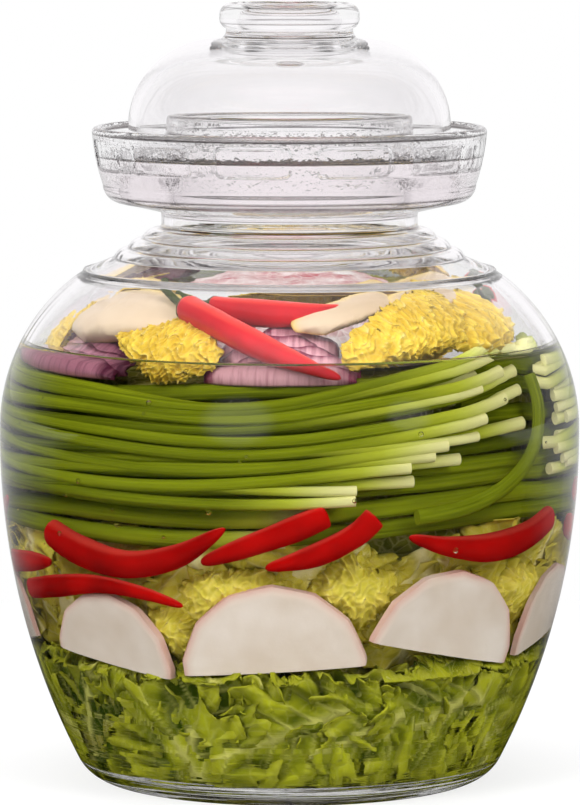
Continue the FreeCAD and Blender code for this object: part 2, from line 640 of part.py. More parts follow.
def vegetables():
    """Every vegetable piece by name."""
    pieces = {}
    families = {
        "cabbage_leaf": cabbage_leaves(),
        "cabbage_wedge": cabbage_wedges(),
        "napa_leaf": napa_leaves(),
        "radish_slice": [radish_slice(*place) for place in RADISH_PLACES],
        "red_chili": [tube(stations, CHILI_R, True) for stations in CHILI_STATIONS],
        "top_chili": [tube(raised(stations, TOP_LOW_Z), CHILI_R, True) for stations in TOP_CHILI_STATIONS],
        "napa_heart": [napa_heart(*place) for place in NAPA_PLACES],
        "onion_wedge": [onion_wedge(*place) for place in ONION_PLACES]}
    for name, solids in families.items():
        for i, solid in enumerate(solids):
            pieces[f"{name}_{i + 1}"] = solid
    back_starts = [end + BACK_GAP for end in SIDE_ENDS]
    pieces["stems_front"] = outer_stems(FRONT_STARTS, FRONT_ENDS)
    pieces["stems_right"] = outer_stems(SIDE_STARTS, SIDE_ENDS)
    pieces["stems_back"] = outer_stems(back_starts, BACK_ENDS)
    pieces["stems_inner"] = inner_stems()
    pieces["stem_bent"] = tube(BENT_STATIONS, BENT_STEM_R, False)
    pieces["leaf_mound"] = leaf_mound()
    return pieces


def main():
    """Build every piece and write it under its name."""
    os.makedirs("parts", exist_ok=True)
    pieces = {"jar_body": jar_body(), "lid": lid(), "seal_water": seal_water(), "brine": brine()}
    pieces.update(vegetables())
    for name, shape in pieces.items():
        shape.exportStep(f"parts/{name}.step")
        print(name, len(shape.Solids), round(shape.Volume), shape.isValid())


main()
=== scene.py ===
"""Looks of the water seal pickle jar: clear pressed glass, still water, brine and packed vegetables.

Every shape is worked out in millimetres round the jar's axis and becomes a mesh in metres. A turn is
the angle in degrees round the axis from the front, positive towards the right.
"""

import logging
import math
from dataclasses import dataclass
from enum import Enum

import bmesh
import bpy
import numpy as np
from bpy.types import ID, Material, Mesh, Node, NodeSocket, NodeTree, Object, Scene
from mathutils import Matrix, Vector, noise


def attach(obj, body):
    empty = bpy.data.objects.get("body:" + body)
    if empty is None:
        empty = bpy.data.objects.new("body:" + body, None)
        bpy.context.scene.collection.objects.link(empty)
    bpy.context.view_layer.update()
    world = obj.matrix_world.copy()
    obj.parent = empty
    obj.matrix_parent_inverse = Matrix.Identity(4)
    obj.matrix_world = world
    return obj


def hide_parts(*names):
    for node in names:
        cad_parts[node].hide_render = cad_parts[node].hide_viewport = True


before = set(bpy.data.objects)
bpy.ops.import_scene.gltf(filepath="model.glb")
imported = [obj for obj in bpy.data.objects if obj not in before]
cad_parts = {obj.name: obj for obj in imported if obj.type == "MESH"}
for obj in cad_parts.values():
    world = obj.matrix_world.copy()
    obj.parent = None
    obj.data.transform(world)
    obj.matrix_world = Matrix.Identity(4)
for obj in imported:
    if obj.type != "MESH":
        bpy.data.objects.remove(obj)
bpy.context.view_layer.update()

LOG = logging.getLogger("pickle_jar")
MM = 0.001
WHITE = (1.0, 1.0, 1.0, 1.0)
TOUCH = 0.1  # how near a face or a level counts as on it, in millimetres
Colour = tuple[float, float, float]
Point = tuple[float, float]
Values = np.ndarray | float
Feed = NodeSocket | float
Paint = NodeSocket | Colour


class Body(Enum):
    """The two bodies that pieces ride on."""

    JAR = "jar"
    LID = "lid"


class Medium(Enum):
    """What a piece lies in, by how strongly its surface mirrors light there."""

    BRINE = 0.0
    AIR = 0.4


# Mesh helpers


def link_object(name: str, data: ID) -> Object:
    """Make an object of a mesh, a curve, a camera or a lamp and put it in the scene."""
    item = bpy.data.objects.new(name, data)
    bpy.context.scene.collection.objects.link(item)
    return item


def link_mesh(name: str, verts: np.ndarray, faces: list, material: Material,
              values: dict[str, np.ndarray] | None = None, smooth: bool = True) -> Object:
    """Make a mesh object from points in millimetres.

    Args:
        name: Name of the piece.
        verts: Points, n by 3, in millimetres.
        faces: Vertex indices of each face.
        material: Finish of the piece.
        values: Named values at the points, for the finish to read.
        smooth: Whether faces are shaded smooth.

    Returns:
        The linked object.
    """
    mesh = bpy.data.meshes.new(name)
    mesh.from_pydata((np.asarray(verts, float) * MM).tolist(), [], faces)
    for key, data in (values or {}).items():
        write_values(mesh, key, data)
    mesh.polygons.foreach_set("use_smooth", [smooth] * len(mesh.polygons))
    mesh.materials.append(material)
    mesh.validate()
    mesh.update()
    return link_object(name, mesh)


def write_values(mesh: Mesh, key: str, data: np.ndarray) -> None:
    """Write a named value, or a named vector, at every point of a mesh."""
    vector = np.ndim(data) == 2
    layer = mesh.attributes.new(key, "FLOAT_VECTOR" if vector else "FLOAT", "POINT")
    layer.data.foreach_set("vector" if vector else "value", np.asarray(data, np.float32).ravel())


def read_vectors(mesh: Mesh, key: str) -> np.ndarray:
    """Positions or normals of a mesh's points."""
    data = np.zeros(len(mesh.vertices) * 3)
    mesh.vertices.foreach_get(key, data)
    return data.reshape(-1, 3)


def face_outwards(piece: Object) -> None:
    """Merge doubles and turn the faces of a closed mesh outwards."""
    work = bmesh.new()
    work.from_mesh(piece.data)
    bmesh.ops.remove_doubles(work, verts=work.verts, dist=1e-6)
    bmesh.ops.recalc_face_normals(work, faces=work.faces)
    work.to_mesh(piece.data)
    work.free()


def grid_faces(rows: int, cols: int, wrap: bool = False) -> list:
    """Quads of a grid of points.

    Args:
        rows: Number of rows of points.
        cols: Points in a row.
        wrap: Whether each row closes on itself.

    Returns:
        Vertex indices of each quad.
    """
    faces = []
    last = cols if wrap else cols - 1
    for i in range(rows - 1):
        for j in range(last):
            k = (j + 1) % cols
            faces.append((i * cols + j, i * cols + k, (i + 1) * cols + k, (i + 1) * cols + j))
    return faces


def join_parts(parts: list[tuple[np.ndarray, list]]) -> tuple[np.ndarray, list]:
    """Points and faces of several parts as one mesh."""
    verts, faces, total = [], [], 0
    for points, sides in parts:
        verts.append(points)
        faces += [tuple(i + total for i in face) for face in sides]
        total += len(points)
    return np.vstack(verts), faces


def settle(piece: Object, body: Body, slot: str, *nodes: str) -> Object:
    """Let a piece ride on a body and stand for its solids.

    Args:
        piece: Finished piece.
        body: Body that it rides on.
        slot: Not used.
        *nodes: Solids that it replaces.

    Returns:
        The piece.
    """
    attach(piece, body.value)
    if nodes:
        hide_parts(*nodes)
    LOG.info("%s: %d faces on %s", piece.name, len(piece.data.polygons), body.value)
    return piece


def catmull(rows: np.ndarray, count: int) -> np.ndarray:
    """Points on a smooth curve through rows of values.

    Args:
        rows: Values to pass through, n by k.
        count: Number of points to give.

    Returns:
        count by k values, evenly spaced in the row number.
    """
    rows = np.asarray(rows, float)
    at = np.linspace(0, len(rows) - 1, count)
    i = np.minimum(at.astype(int), len(rows) - 2)
    t = (at - i)[:, None]
    before, near = rows[np.maximum(i - 1, 0)], rows[i]
    far, after = rows[i + 1], rows[np.minimum(i + 2, len(rows) - 1)]
    return 0.5 * (2 * near + (far - before) * t + (2 * before - 5 * near + 4 * far - after) * t ** 2
                  + (3 * near - before - 3 * far + after) * t ** 3)


def ripple(points: np.ndarray, size: float, seed: float) -> np.ndarray:
    """Smooth noise from -1 to 1 at points, with features of about a size in millimetres."""
    return np.array([noise.noise(Vector(p) / size + Vector((seed, 2 * seed, 3 * seed))) for p in points])


def tube(centres: np.ndarray, radii: np.ndarray, sides: int) -> tuple[np.ndarray, list]:
    """A closed tube along a path round the jar.

    Args:
        centres: Path points, n by 3.
        radii: Radius at each point, or n by sides radii.
        sides: Points round the tube.

    Returns:
        Points and faces of the tube.
    """
    count = len(centres)
    along = np.gradient(centres, axis=0)
    along /= np.linalg.norm(along, axis=1)[:, None]
    outward = centres * (1, 1, 0)
    outward /= np.linalg.norm(outward, axis=1)[:, None]
    side = np.cross(along, outward)
    side /= np.linalg.norm(side, axis=1)[:, None]
    normal = np.cross(side, along)
    angle = np.linspace(0, 2 * math.pi, sides, endpoint=False)
    spread = np.broadcast_to(np.reshape(radii, (count, -1)), (count, sides))
    ring = (normal[:, None] * np.cos(angle)[None, :, None] + side[:, None] * np.sin(angle)[None, :, None])
    verts = (centres[:, None] + ring * spread[..., None]).reshape(-1, 3)
    verts = np.vstack([verts, centres[:1], centres[-1:]])
    faces = grid_faces(count, sides, wrap=True)
    first, last = count * sides, count * sides + 1
    for j in range(sides):
        k = (j + 1) % sides
        faces.append((k, j, first))
        faces.append(((count - 1) * sides + j, (count - 1) * sides + k, last))
    return verts, faces


# Node helpers


def place(tree: NodeTree, kind: str, inputs: dict | None = None, **settings) -> Node:
    """Add a node, set its options and set or link its inputs.

    Args:
        tree: Tree that gets the node.
        kind: Type name of the node.
        inputs: Values or output sockets by input name or index.
        **settings: Options of the node.

    Returns:
        The new node.
    """
    item = tree.nodes.new(kind)
    for key, value in settings.items():
        setattr(item, key, value)
    for key, value in (inputs or {}).items():
        if isinstance(value, NodeSocket):
            tree.links.new(value, item.inputs[key])
        else:
            item.inputs[key].default_value = value
    return item


def mix_colour(tree: NodeTree, share: Feed, first: Paint, second: Paint) -> NodeSocket:
    """Mix two colours by a share, each a socket or a value."""
    item = place(tree, "ShaderNodeMix", data_type="RGBA")
    for index, value in ((0, share), (6, first), (7, second)):
        if isinstance(value, NodeSocket):
            tree.links.new(value, item.inputs[index])
        else:
            item.inputs[index].default_value = value if index == 0 else (*value, 1.0)
    return item.outputs[2]


def math_node(tree: NodeTree, operation: str, first: Feed, second: Feed = 0.0,
              clamp: bool = False) -> NodeSocket:
    """One arithmetic step between two sockets or values."""
    return place(tree, "ShaderNodeMath", {0: first, 1: second}, operation=operation, use_clamp=clamp).outputs[0]


def value_at(tree: NodeTree, name: str) -> NodeSocket:
    """A named value of the piece's points."""
    return place(tree, "ShaderNodeAttribute", attribute_name=name).outputs["Fac"]


def object_point(tree: NodeTree) -> NodeSocket:
    """The point of the surface in the object's frame."""
    return place(tree, "ShaderNodeTexCoord").outputs["Object"]


def sheet_point(tree: NodeTree) -> NodeSocket:
    """The point of a leaf or an onion layer on its flat sheet, in millimetres."""
    return place(tree, "ShaderNodeAttribute", attribute_name="sheet").outputs["Vector"]


def along_axis(tree: NodeTree, vector: NodeSocket, axis: str) -> NodeSocket:
    """One coordinate of a vector."""
    return place(tree, "ShaderNodeSeparateXYZ", {0: vector}).outputs[axis]


def ramp(tree: NodeTree, value: Feed, span: Point, levels: Point = (0.0, 1.0),
         soft: bool = False) -> NodeSocket:
    """Map a span of a value to a pair of levels that hold beyond it.

    Args:
        tree: Tree that gets the node.
        value: Value to map.
        span: Where the first and the last level are reached.
        levels: First and last level.
        soft: Whether the change starts and ends gently.

    Returns:
        The level.
    """
    return place(tree, "ShaderNodeMapRange",
                 {"Value": value, "From Min": span[0], "From Max": span[1],
                  "To Min": levels[0], "To Max": levels[1]},
                 interpolation_type="SMOOTHSTEP" if soft else "LINEAR").outputs[0]


def shader_group(name: str, inputs: dict[str, float], outputs: tuple[str, ...]) -> tuple:
    """Start a shader node group with plain value sockets.

    Args:
        name: Name of the group.
        inputs: Default of each input.
        outputs: Names of the outputs.

    Returns:
        The tree, its input node and its output node.
    """
    tree = bpy.data.node_groups.new(name, "ShaderNodeTree")
    for key, value in inputs.items():
        socket = tree.interface.new_socket(key, in_out="INPUT", socket_type="NodeSocketFloat")
        socket.default_value = value
    for key in outputs:
        tree.interface.new_socket(key, in_out="OUTPUT", socket_type="NodeSocketFloat")
    return tree, tree.nodes.new("NodeGroupInput"), tree.nodes.new("NodeGroupOutput")


class Effects:
    """Shader groups that several finishes share, built once."""

    def __init__(self) -> None:
        """Build the groups."""
        self.mottle = self._mottle()
        self.fibres = self._fibres()

    @staticmethod
    def _mottle() -> NodeTree:
        """Uneven tone of a wet vegetable: a coarse mask and a fine height."""
        tree, start, end = shader_group("wet_mottle", {"Scale": 90.0, "Contrast": 1.5}, ("Mask", "Height"))
        point = object_point(tree)
        coarse = place(tree, "ShaderNodeTexNoise", {"Vector": point, "Scale": start.outputs["Scale"],
                                                     "Detail": 3.0, "Roughness": 0.55})
        finer = math_node(tree, "MULTIPLY", start.outputs["Scale"], 7.0)
        fine = place(tree, "ShaderNodeTexNoise", {"Vector": point, "Scale": finer, "Detail": 2.0})
        centred = math_node(tree, "SUBTRACT", coarse.outputs["Fac"], 0.5)
        spread = math_node(tree, "MULTIPLY", centred, start.outputs["Contrast"])
        tree.links.new(math_node(tree, "ADD", spread, 0.5, clamp=True), end.inputs["Mask"])
        tree.links.new(fine.outputs["Fac"], end.inputs["Height"])
        return tree

    @staticmethod
    def _fibres() -> NodeTree:
        """Streaks along a stem: a mask that follows the values along and around it."""
        tree, start, end = shader_group("long_fibres", {"Along": 6.0, "Around": 14.0}, ("Mask", "Height"))
        along = math_node(tree, "MULTIPLY", value_at(tree, "along"), start.outputs["Along"])
        turn = math_node(tree, "MULTIPLY", value_at(tree, "around"), 2 * math.pi)
        across = math_node(tree, "MULTIPLY", math_node(tree, "COSINE", turn), start.outputs["Around"])
        over = math_node(tree, "MULTIPLY", math_node(tree, "SINE", turn), start.outputs["Around"])
        tone = math_node(tree, "MULTIPLY", value_at(tree, "tone"), 40.0)
        shifted = math_node(tree, "ADD", along, tone)
        point = place(tree, "ShaderNodeCombineXYZ", {0: shifted, 1: across, 2: over}).outputs[0]
        streak = place(tree, "ShaderNodeTexNoise", {"Vector": point, "Scale": 1.0, "Detail": 3.0})
        tree.links.new(streak.outputs["Fac"], end.inputs["Mask"])
        tree.links.new(streak.outputs["Fac"], end.inputs["Height"])
        return tree


EFFECTS = Effects()


def new_material(name: str, medium: Medium | None = None) -> tuple:
    """A material, its tree and its main shader.

    Args:
        name: Name of the material.
        medium: What the piece lies in, for a piece that isn't clear.

    Returns:
        The material, the tree and the shader.
    """
    material = bpy.data.materials.new(name)
    material.use_nodes = True
    tree = material.node_tree
    shader = tree.nodes["Principled BSDF"]
    if medium:
        shader.inputs["Specular IOR Level"].default_value = medium.value
    return material, tree, shader


def use_effect(tree: NodeTree, group: NodeTree, **values: float) -> Node:
    """Place a shared group with its own values."""
    return place(tree, "ShaderNodeGroup", dict(values), node_tree=group)


def add_bump(tree: NodeTree, shader: Node, height: Feed, strength: float,
             distance: float) -> None:
    """Drive a shader's normal by a height, with the distance in metres."""
    bump = place(tree, "ShaderNodeBump", {"Height": height, "Strength": strength, "Distance": distance})
    tree.links.new(bump.outputs["Normal"], shader.inputs["Normal"])


def dress(tree: NodeTree, shader: Node, colour: NodeSocket, roughness: float,
          height: Feed, relief: Point) -> None:
    """Give a shader its colour, its roughness and its relief.

    Args:
        tree: Tree of the material.
        shader: Main shader of the material.
        colour: Colour of the surface.
        roughness: Roughness of the surface.
        height: Height that drives the normal.
        relief: Strength of the relief, and its depth in metres.
    """
    tree.links.new(colour, shader.inputs["Base Color"])
    shader.inputs["Roughness"].default_value = roughness
    add_bump(tree, shader, height, *relief)


@dataclass(frozen=True)
class ClearFinish:
    """Clear glass or liquid that lets lamp light through to what it holds."""

    name: str
    tint: Colour
    ior: float
    wet_ior: float = 1.0
    ring_height: float = 0.0
    grain_height: float = 0.0
    ring_zone: Point = (0.012, 0.05)
    waviness: float = 0.12
    grain_zone: Point = (0.228, 0.249)
    # Painted shade: dark level lines that stand in for the darkness refraction shows at sharp bends.
    seams: tuple = ()
    smoke: Colour = (0.05, 0.035, 0.035)

    def material(self) -> Material:
        """Build the clear material."""
        material, tree, shader = new_material(self.name)
        shader.inputs["Base Color"].default_value = (*self.tint, 1.0)
        if self.seams:
            self._darken_seams(tree, shader)
        shader.inputs["Roughness"].default_value = 0.0
        shader.inputs["IOR"].default_value = self.ior
        shader.inputs["Transmission Weight"].default_value = 1.0
        bend = ramp(tree, value_at(tree, "wet"), (0.0, 1.0), (self.ior, self.wet_ior))
        tree.links.new(bend, shader.inputs["IOR"])
        if self.ring_height:
            self._mould_marks(tree, shader)
        clear = place(tree, "ShaderNodeBsdfTransparent", {"Color": (*self.tint, 1.0)})
        path = place(tree, "ShaderNodeLightPath")
        mixed = place(tree, "ShaderNodeMixShader", {0: path.outputs["Is Shadow Ray"],
                                                    1: shader.outputs[0], 2: clear.outputs[0]})
        tree.links.new(mixed.outputs[0], tree.nodes["Material Output"].inputs["Surface"])
        return material

    def _darken_seams(self, tree: NodeTree, shader: Node) -> None:
        """Paint dark level lines as painted shade where the glass or the liquid bends sharply, standing in for the
        darkness of refraction there; each a height, half width and strength.
        """
        height = along_axis(tree, object_point(tree), "Z")
        total = None
        for level, half, strength in self.seams:
            off = math_node(tree, "ABSOLUTE", math_node(tree, "SUBTRACT", height, level * MM))
            band = ramp(tree, off, (0.0, half * MM), (strength, 0.0), soft=True)
            total = band if total is None else math_node(tree, "MAXIMUM", total, band)
        tree.links.new(mix_colour(tree, total, self.tint, self.smoke), shader.inputs["Base Color"])

    def _mould_marks(self, tree: NodeTree, shader: Node) -> None:
        """Fine level rings low on the wall, a slow waviness and the grain of the moat's wall."""
        point = object_point(tree)
        height = along_axis(tree, point, "Z")
        stretched = place(tree, "ShaderNodeMapping", {"Vector": point, "Scale": (7.0, 7.0, 300.0)})
        rings = place(tree, "ShaderNodeTexNoise", {"Vector": stretched.outputs[0], "Scale": 1.0, "Detail": 2.0})
        low = ramp(tree, height, self.ring_zone, (1.0, 0.03))
        wave = place(tree, "ShaderNodeTexNoise", {"Vector": point, "Scale": 20.0, "Detail": 1.0})
        ringed = math_node(tree, "MULTIPLY", rings.outputs["Fac"], low)
        total = math_node(tree, "ADD", ringed, math_node(tree, "MULTIPLY", wave.outputs["Fac"], self.waviness))
        if self.grain_height:
            grain = place(tree, "ShaderNodeTexNoise", {"Vector": point, "Scale": 420.0, "Detail": 2.0})
            over = math_node(tree, "GREATER_THAN", height, self.grain_zone[0])
            under = math_node(tree, "LESS_THAN", height, self.grain_zone[1])
            zone = math_node(tree, "MULTIPLY", math_node(tree, "MULTIPLY", over, under),
                             self.grain_height / self.ring_height)
            total = math_node(tree, "ADD", total, math_node(tree, "MULTIPLY", grain.outputs["Fac"], zone))
        add_bump(tree, shader, total, 1.0, self.ring_height)


@dataclass(frozen=True)
class ChiliFinish:
    """Glossy red chili skin, with a painted highlight on its upward-facing side."""

    name: str
    medium: Medium
    deep: Colour
    bright: Colour
    glint: Colour = (0.90, 0.09, 0.06)

    def material(self) -> Material:
        """Build the chili material."""
        material, tree, shader = new_material(self.name, self.medium)
        mottle = use_effect(tree, EFFECTS.mottle, Scale=50.0, Contrast=2.2)
        colour = mix_colour(tree, mottle.outputs["Mask"], self.deep, self.bright)
        # Painted highlight: the upward-facing side of the skin is mixed towards a lighter red.
        upward = along_axis(tree, place(tree, "ShaderNodeNewGeometry").outputs["Normal"], "Z")
        crest = ramp(tree, upward, (0.55, 0.9), (0.0, 0.5), soft=True)
        colour = mix_colour(tree, crest, colour, self.glint)
        dress(tree, shader, colour, 0.3, mottle.outputs["Height"], (0.15, 0.0008))
        return material


@dataclass(frozen=True)
class StemFinish:
    """A fresh stem, green along most of it, yellow-green and then pale towards the cut end."""

    name: str = "stem_skin"
    dark: Colour = (0.032, 0.048, 0.002)
    green: Colour = (0.26, 0.32, 0.010)
    light: Colour = (0.50, 0.56, 0.045)
    pale: Colour = (0.93, 0.90, 0.45)
    yellowing: Point = (0.22, 0.72)
    paling: Point = (0.55, 1.0)

    def material(self) -> Material:
        """Build the stem material."""
        material, tree, shader = new_material(self.name, Medium.BRINE)
        fibres = use_effect(tree, EFFECTS.fibres, Along=5.0, Around=3.5)
        tone = math_node(tree, "MULTIPLY", value_at(tree, "tone"), 0.7)
        streak = math_node(tree, "MULTIPLY", math_node(tree, "SUBTRACT", fibres.outputs["Mask"], 0.35), 1.3)
        body = mix_colour(tree, math_node(tree, "ADD", tone, streak, clamp=True), self.dark, self.green)
        fade = value_at(tree, "pale")
        colour = mix_colour(tree, ramp(tree, fade, self.yellowing, soft=True), body, self.light)
        colour = mix_colour(tree, ramp(tree, fade, self.paling, soft=True), colour, self.pale)
        dress(tree, shader, colour, 0.34, fibres.outputs["Height"], (0.35, 0.0008))
        return material


@dataclass(frozen=True)
class LeafFinish:
    """A crinkled leaf with a net of pale veins and a deeper margin, and painted shade and highlight where a piece's
    values put them.
    """

    name: str
    medium: Medium
    flesh: Colour
    deep: Colour
    margin: Colour
    vein: Colour
    cell: float = 4.4
    net: float = 0.45

    def material(self) -> Material:
        """Build the leaf material."""
        material, tree, shader = new_material(self.name, self.medium)
        mottle = use_effect(tree, EFFECTS.mottle, Scale=60.0, Contrast=2.4)
        cells = place(tree, "ShaderNodeTexVoronoi", {"Vector": sheet_point(tree), "Scale": 1.0 / self.cell},
                      feature="DISTANCE_TO_EDGE").outputs["Distance"]
        net = ramp(tree, cells, (0.11, 0.0), (0.0, self.net))
        uneven = math_node(tree, "SUBTRACT", mottle.outputs["Mask"], 0.5)
        # The tone value mixes in the deep colour: random tone, plus painted shade where a laid leaf lies deep or a
        # patch folds in.
        tone = math_node(tree, "ADD", value_at(tree, "tone"), uneven, clamp=True)
        colour = mix_colour(tree, tone, self.flesh, self.deep)
        edge = math_node(tree, "ADD", value_at(tree, "margin"),
                         math_node(tree, "MULTIPLY", uneven, 0.8), clamp=True)
        colour = mix_colour(tree, math_node(tree, "MULTIPLY", edge, value_at(tree, "margin")), colour, self.margin)
        # The vein value also carries a painted highlight on the crests of leaf patches.
        vein = math_node(tree, "MAXIMUM", value_at(tree, "vein"), net)
        colour = mix_colour(tree, vein, colour, self.vein)
        swell = math_node(tree, "MINIMUM", cells, 0.35)
        height = math_node(tree, "ADD", math_node(tree, "MULTIPLY", swell, 1.4), value_at(tree, "vein"))
        dress(tree, shader, colour, 0.4, height, (0.7, 0.0013))
        return material


@dataclass(frozen=True)
class RadishFinish:
    """White radish flesh with a thin red skin on its round edge."""

    name: str = "radish_flesh"
    flesh: Colour = (0.76, 0.65, 0.53)
    core: Colour = (0.92, 0.84, 0.75)
    blush: Colour = (0.80, 0.60, 0.50)
    skin: Colour = (0.72, 0.40, 0.33)
    blush_reach: float = 4.5

    def material(self) -> Material:
        """Build the radish material."""
        material, tree, shader = new_material(self.name, Medium.BRINE)
        mottle = use_effect(tree, EFFECTS.mottle, Scale=48.0, Contrast=2.2)
        colour = mix_colour(tree, mottle.outputs["Mask"], self.flesh, self.core)
        rim = ramp(tree, value_at(tree, "rim"), (self.blush_reach, 0.0), soft=True)
        reddish = math_node(tree, "MULTIPLY", rim, mottle.outputs["Mask"])
        colour = mix_colour(tree, reddish, colour, self.blush)
        worn = math_node(tree, "MULTIPLY", value_at(tree, "skin"), mottle.outputs["Mask"])
        colour = mix_colour(tree, worn, colour, self.skin)
        dress(tree, shader, colour, 0.36, mottle.outputs["Height"], (0.2, 0.0006))
        return material


@dataclass(frozen=True)
class OnionFinish:
    """Purple onion: pale lilac flesh with purple at the rims and in streaks."""

    name: str
    flesh: Colour
    purple: Colour
    medium: Medium = Medium.AIR

    def material(self) -> Material:
        """Build the onion material."""
        material, tree, shader = new_material(self.name, self.medium)
        mottle = use_effect(tree, EFFECTS.mottle, Scale=45.0, Contrast=2.0)
        drawn = place(tree, "ShaderNodeMapping", {"Vector": sheet_point(tree), "Scale": (0.55, 0.05, 1.0)})
        lines = place(tree, "ShaderNodeTexNoise", {"Vector": drawn.outputs[0], "Scale": 1.0, "Detail": 3.0})
        streak = math_node(tree, "MULTIPLY", math_node(tree, "SUBTRACT", lines.outputs["Fac"], 0.45), 2.2)
        patch = math_node(tree, "MULTIPLY", math_node(tree, "SUBTRACT", mottle.outputs["Mask"], 0.5), 0.5)
        share = math_node(tree, "ADD", value_at(tree, "margin"), math_node(tree, "ADD", streak, patch), clamp=True)
        colour = mix_colour(tree, share, self.flesh, self.purple)
        dress(tree, shader, colour, 0.28, lines.outputs["Fac"], (0.25, 0.0006))
        return material


@dataclass(frozen=True)
class RibFinish:
    """The smooth cream rib at the root of a napa heart."""

    name: str = "napa_rib"
    cream: Colour = (0.58, 0.44, 0.29)
    ivory: Colour = (0.68, 0.55, 0.39)
    yellow: Colour = (0.78, 0.58, 0.16)

    def material(self) -> Material:
        """Build the rib material."""
        material, tree, shader = new_material(self.name, Medium.AIR)
        mottle = use_effect(tree, EFFECTS.mottle, Scale=40.0, Contrast=1.8)
        colour = mix_colour(tree, mottle.outputs["Mask"], self.cream, self.ivory)
        colour = mix_colour(tree, value_at(tree, "margin"), colour, self.yellow)
        dress(tree, shader, colour, 0.35, mottle.outputs["Height"], (0.2, 0.0007))
        return material


# Forms


@dataclass(frozen=True)
class JarForm:
    """Sizes of the glass jar, in millimetres."""

    body_r: float = 110.0
    belly_z: float = 131.0
    belly_band: float = 3.0
    lower_arc_r: float = 270.0
    shoulder_h: float = 59.87
    brine_z: float = 166.0
    water_depth: float = 15.3
    wall: float = 4.0
    floor_t: float = 7.0
    heel_r: float = 16.0
    inner_heel_r: float = 12.0
    punt_r: float = 50.0
    punt_depth: float = 1.5
    punt_bevel: float = 4.0
    ridge_r: float = 78.0
    slope: Point = (11.5, 5.0)
    step_count: int = 3
    step_bulge: float = 1.1
    shoulder_rise: float = 16.0
    neck_r: float = 48.5
    neck_wall: float = 4.0
    neck_fillet: float = 2.0
    neck_length: float = 7.0
    neck_taper: float = 2.0
    mouth_h: float = 31.5
    lip_round: float = 2.0
    moat_floor_t: float = 5.5
    moat_rise: float = 3.0
    moat_depth: float = 26.0
    moat_wall: float = 3.6
    moat_corner: float = 7.0
    moat_lean: float = 4.0
    channel: Point = (9.5, 10.1)
    lid_wall: float = 3.0
    pack_inset: float = 6.2

    @property
    def shoulder_z(self) -> float:
        """Height where the shoulder curve starts."""
        return self.belly_z + self.belly_band

    @property
    def ridge_z(self) -> float:
        """Height of the moulded line that ends the shoulder."""
        return self.shoulder_z + self.shoulder_h

    @property
    def shoulder_arc_r(self) -> float:
        """Radius of the shoulder's curve."""
        run = self.body_r - self.ridge_r
        return (run ** 2 + self.shoulder_h ** 2) / (2 * run)

    @property
    def neck_root_z(self) -> float:
        """Height of the neck's root."""
        return self.ridge_z + self.shoulder_rise

    @property
    def moat_floor_z(self) -> float:
        """Height of the moat's floor."""
        return self.neck_root_z + self.neck_length + self.moat_floor_t

    @property
    def skirt_in_r(self) -> float:
        """Inner radius of the lid's skirt."""
        return self.neck_r + self.channel[0]

    @property
    def moat_r(self) -> float:
        """Outer radius of the moat's rim."""
        return self.skirt_in_r + self.lid_wall + self.channel[1] + self.moat_wall

    def radius(self, z: Values, inset: float = 0.0) -> np.ndarray:
        """Radius of the wall at heights, moved in from the outside by inset."""
        z = np.asarray(z, float)
        low = self.body_r - self.lower_arc_r + np.sqrt(np.maximum(
            (self.lower_arc_r - inset) ** 2 - (self.belly_z - z) ** 2, 0))
        high = self.body_r - self.shoulder_arc_r + np.sqrt(np.maximum(
            (self.shoulder_arc_r - inset) ** 2 - (z - self.shoulder_z) ** 2, 0))
        return np.where(z < self.belly_z, low, np.where(z <= self.shoulder_z, self.body_r - inset, high))

    def heel(self, floor: float, radius: float, inset: float) -> tuple[float, Point]:
        """Centre radius of the rounding at a floor, and where it meets the wall."""
        reach = self.lower_arc_r - inset - radius
        rise = self.belly_z - floor - radius
        inner = self.body_r - self.lower_arc_r
        centre = inner + math.sqrt(reach ** 2 - rise ** 2)
        scale = (self.lower_arc_r - inset) / reach
        return centre, (inner + (centre - inner) * scale, self.belly_z - rise * scale)

    @staticmethod
    def heel_middle(centre: float, floor: float, radius: float, top: Point) -> Point:
        """Middle point of the rounding at a floor.

        Args:
            centre: Radius of the rounding's centre.
            floor: Height of the floor.
            radius: Radius of the rounding.
            top: Point that the wall above leans towards.

        Returns:
            The point.
        """
        lean = math.atan2(top[1] - floor - radius, top[0] - centre)
        half = (lean - math.pi / 2) / 2
        return centre + radius * math.cos(half), floor + radius + radius * math.sin(half)

    def moat_curve(self, offset: float) -> tuple[Point, Point, Point]:
        """Foot, middle and rim of the moat's wall, moved in by an offset."""
        foot = (self.moat_r - self.moat_lean - offset,
                self.neck_root_z + self.neck_length + self.moat_rise + self.moat_corner)
        rim = (self.moat_r - offset, self.moat_floor_z + self.moat_depth - self.lip_round)
        return foot, ((foot[0] + rim[0]) / 2 + self.moat_lean / 6, (foot[1] + rim[1]) / 2), rim

    def room(self, z: Values) -> np.ndarray:
        """Radius of the space inside the glass that vegetables fill, heel included."""
        z = np.asarray(z, float)
        radius = self.inner_heel_r - (self.pack_inset - self.wall)
        floor = self.floor_t + self.pack_inset - self.wall
        centre, end = self.heel(floor, radius, self.pack_inset)
        dip = np.clip(floor + radius - z, 0, radius)
        low = centre + np.sqrt(np.maximum(radius ** 2 - dip ** 2, 0))
        return np.where(z < end[1], low, self.radius(z, self.pack_inset))

    def at(self, turn: Values, z: Values, depth: Values) -> np.ndarray:
        """Points at turns and heights, a depth inside the room's wall."""
        turn, z, depth = np.broadcast_arrays(np.radians(turn), np.asarray(z, float), depth)
        radius = self.room(z) - depth
        return np.stack([radius * np.sin(turn), -radius * np.cos(turn), z], axis=-1)


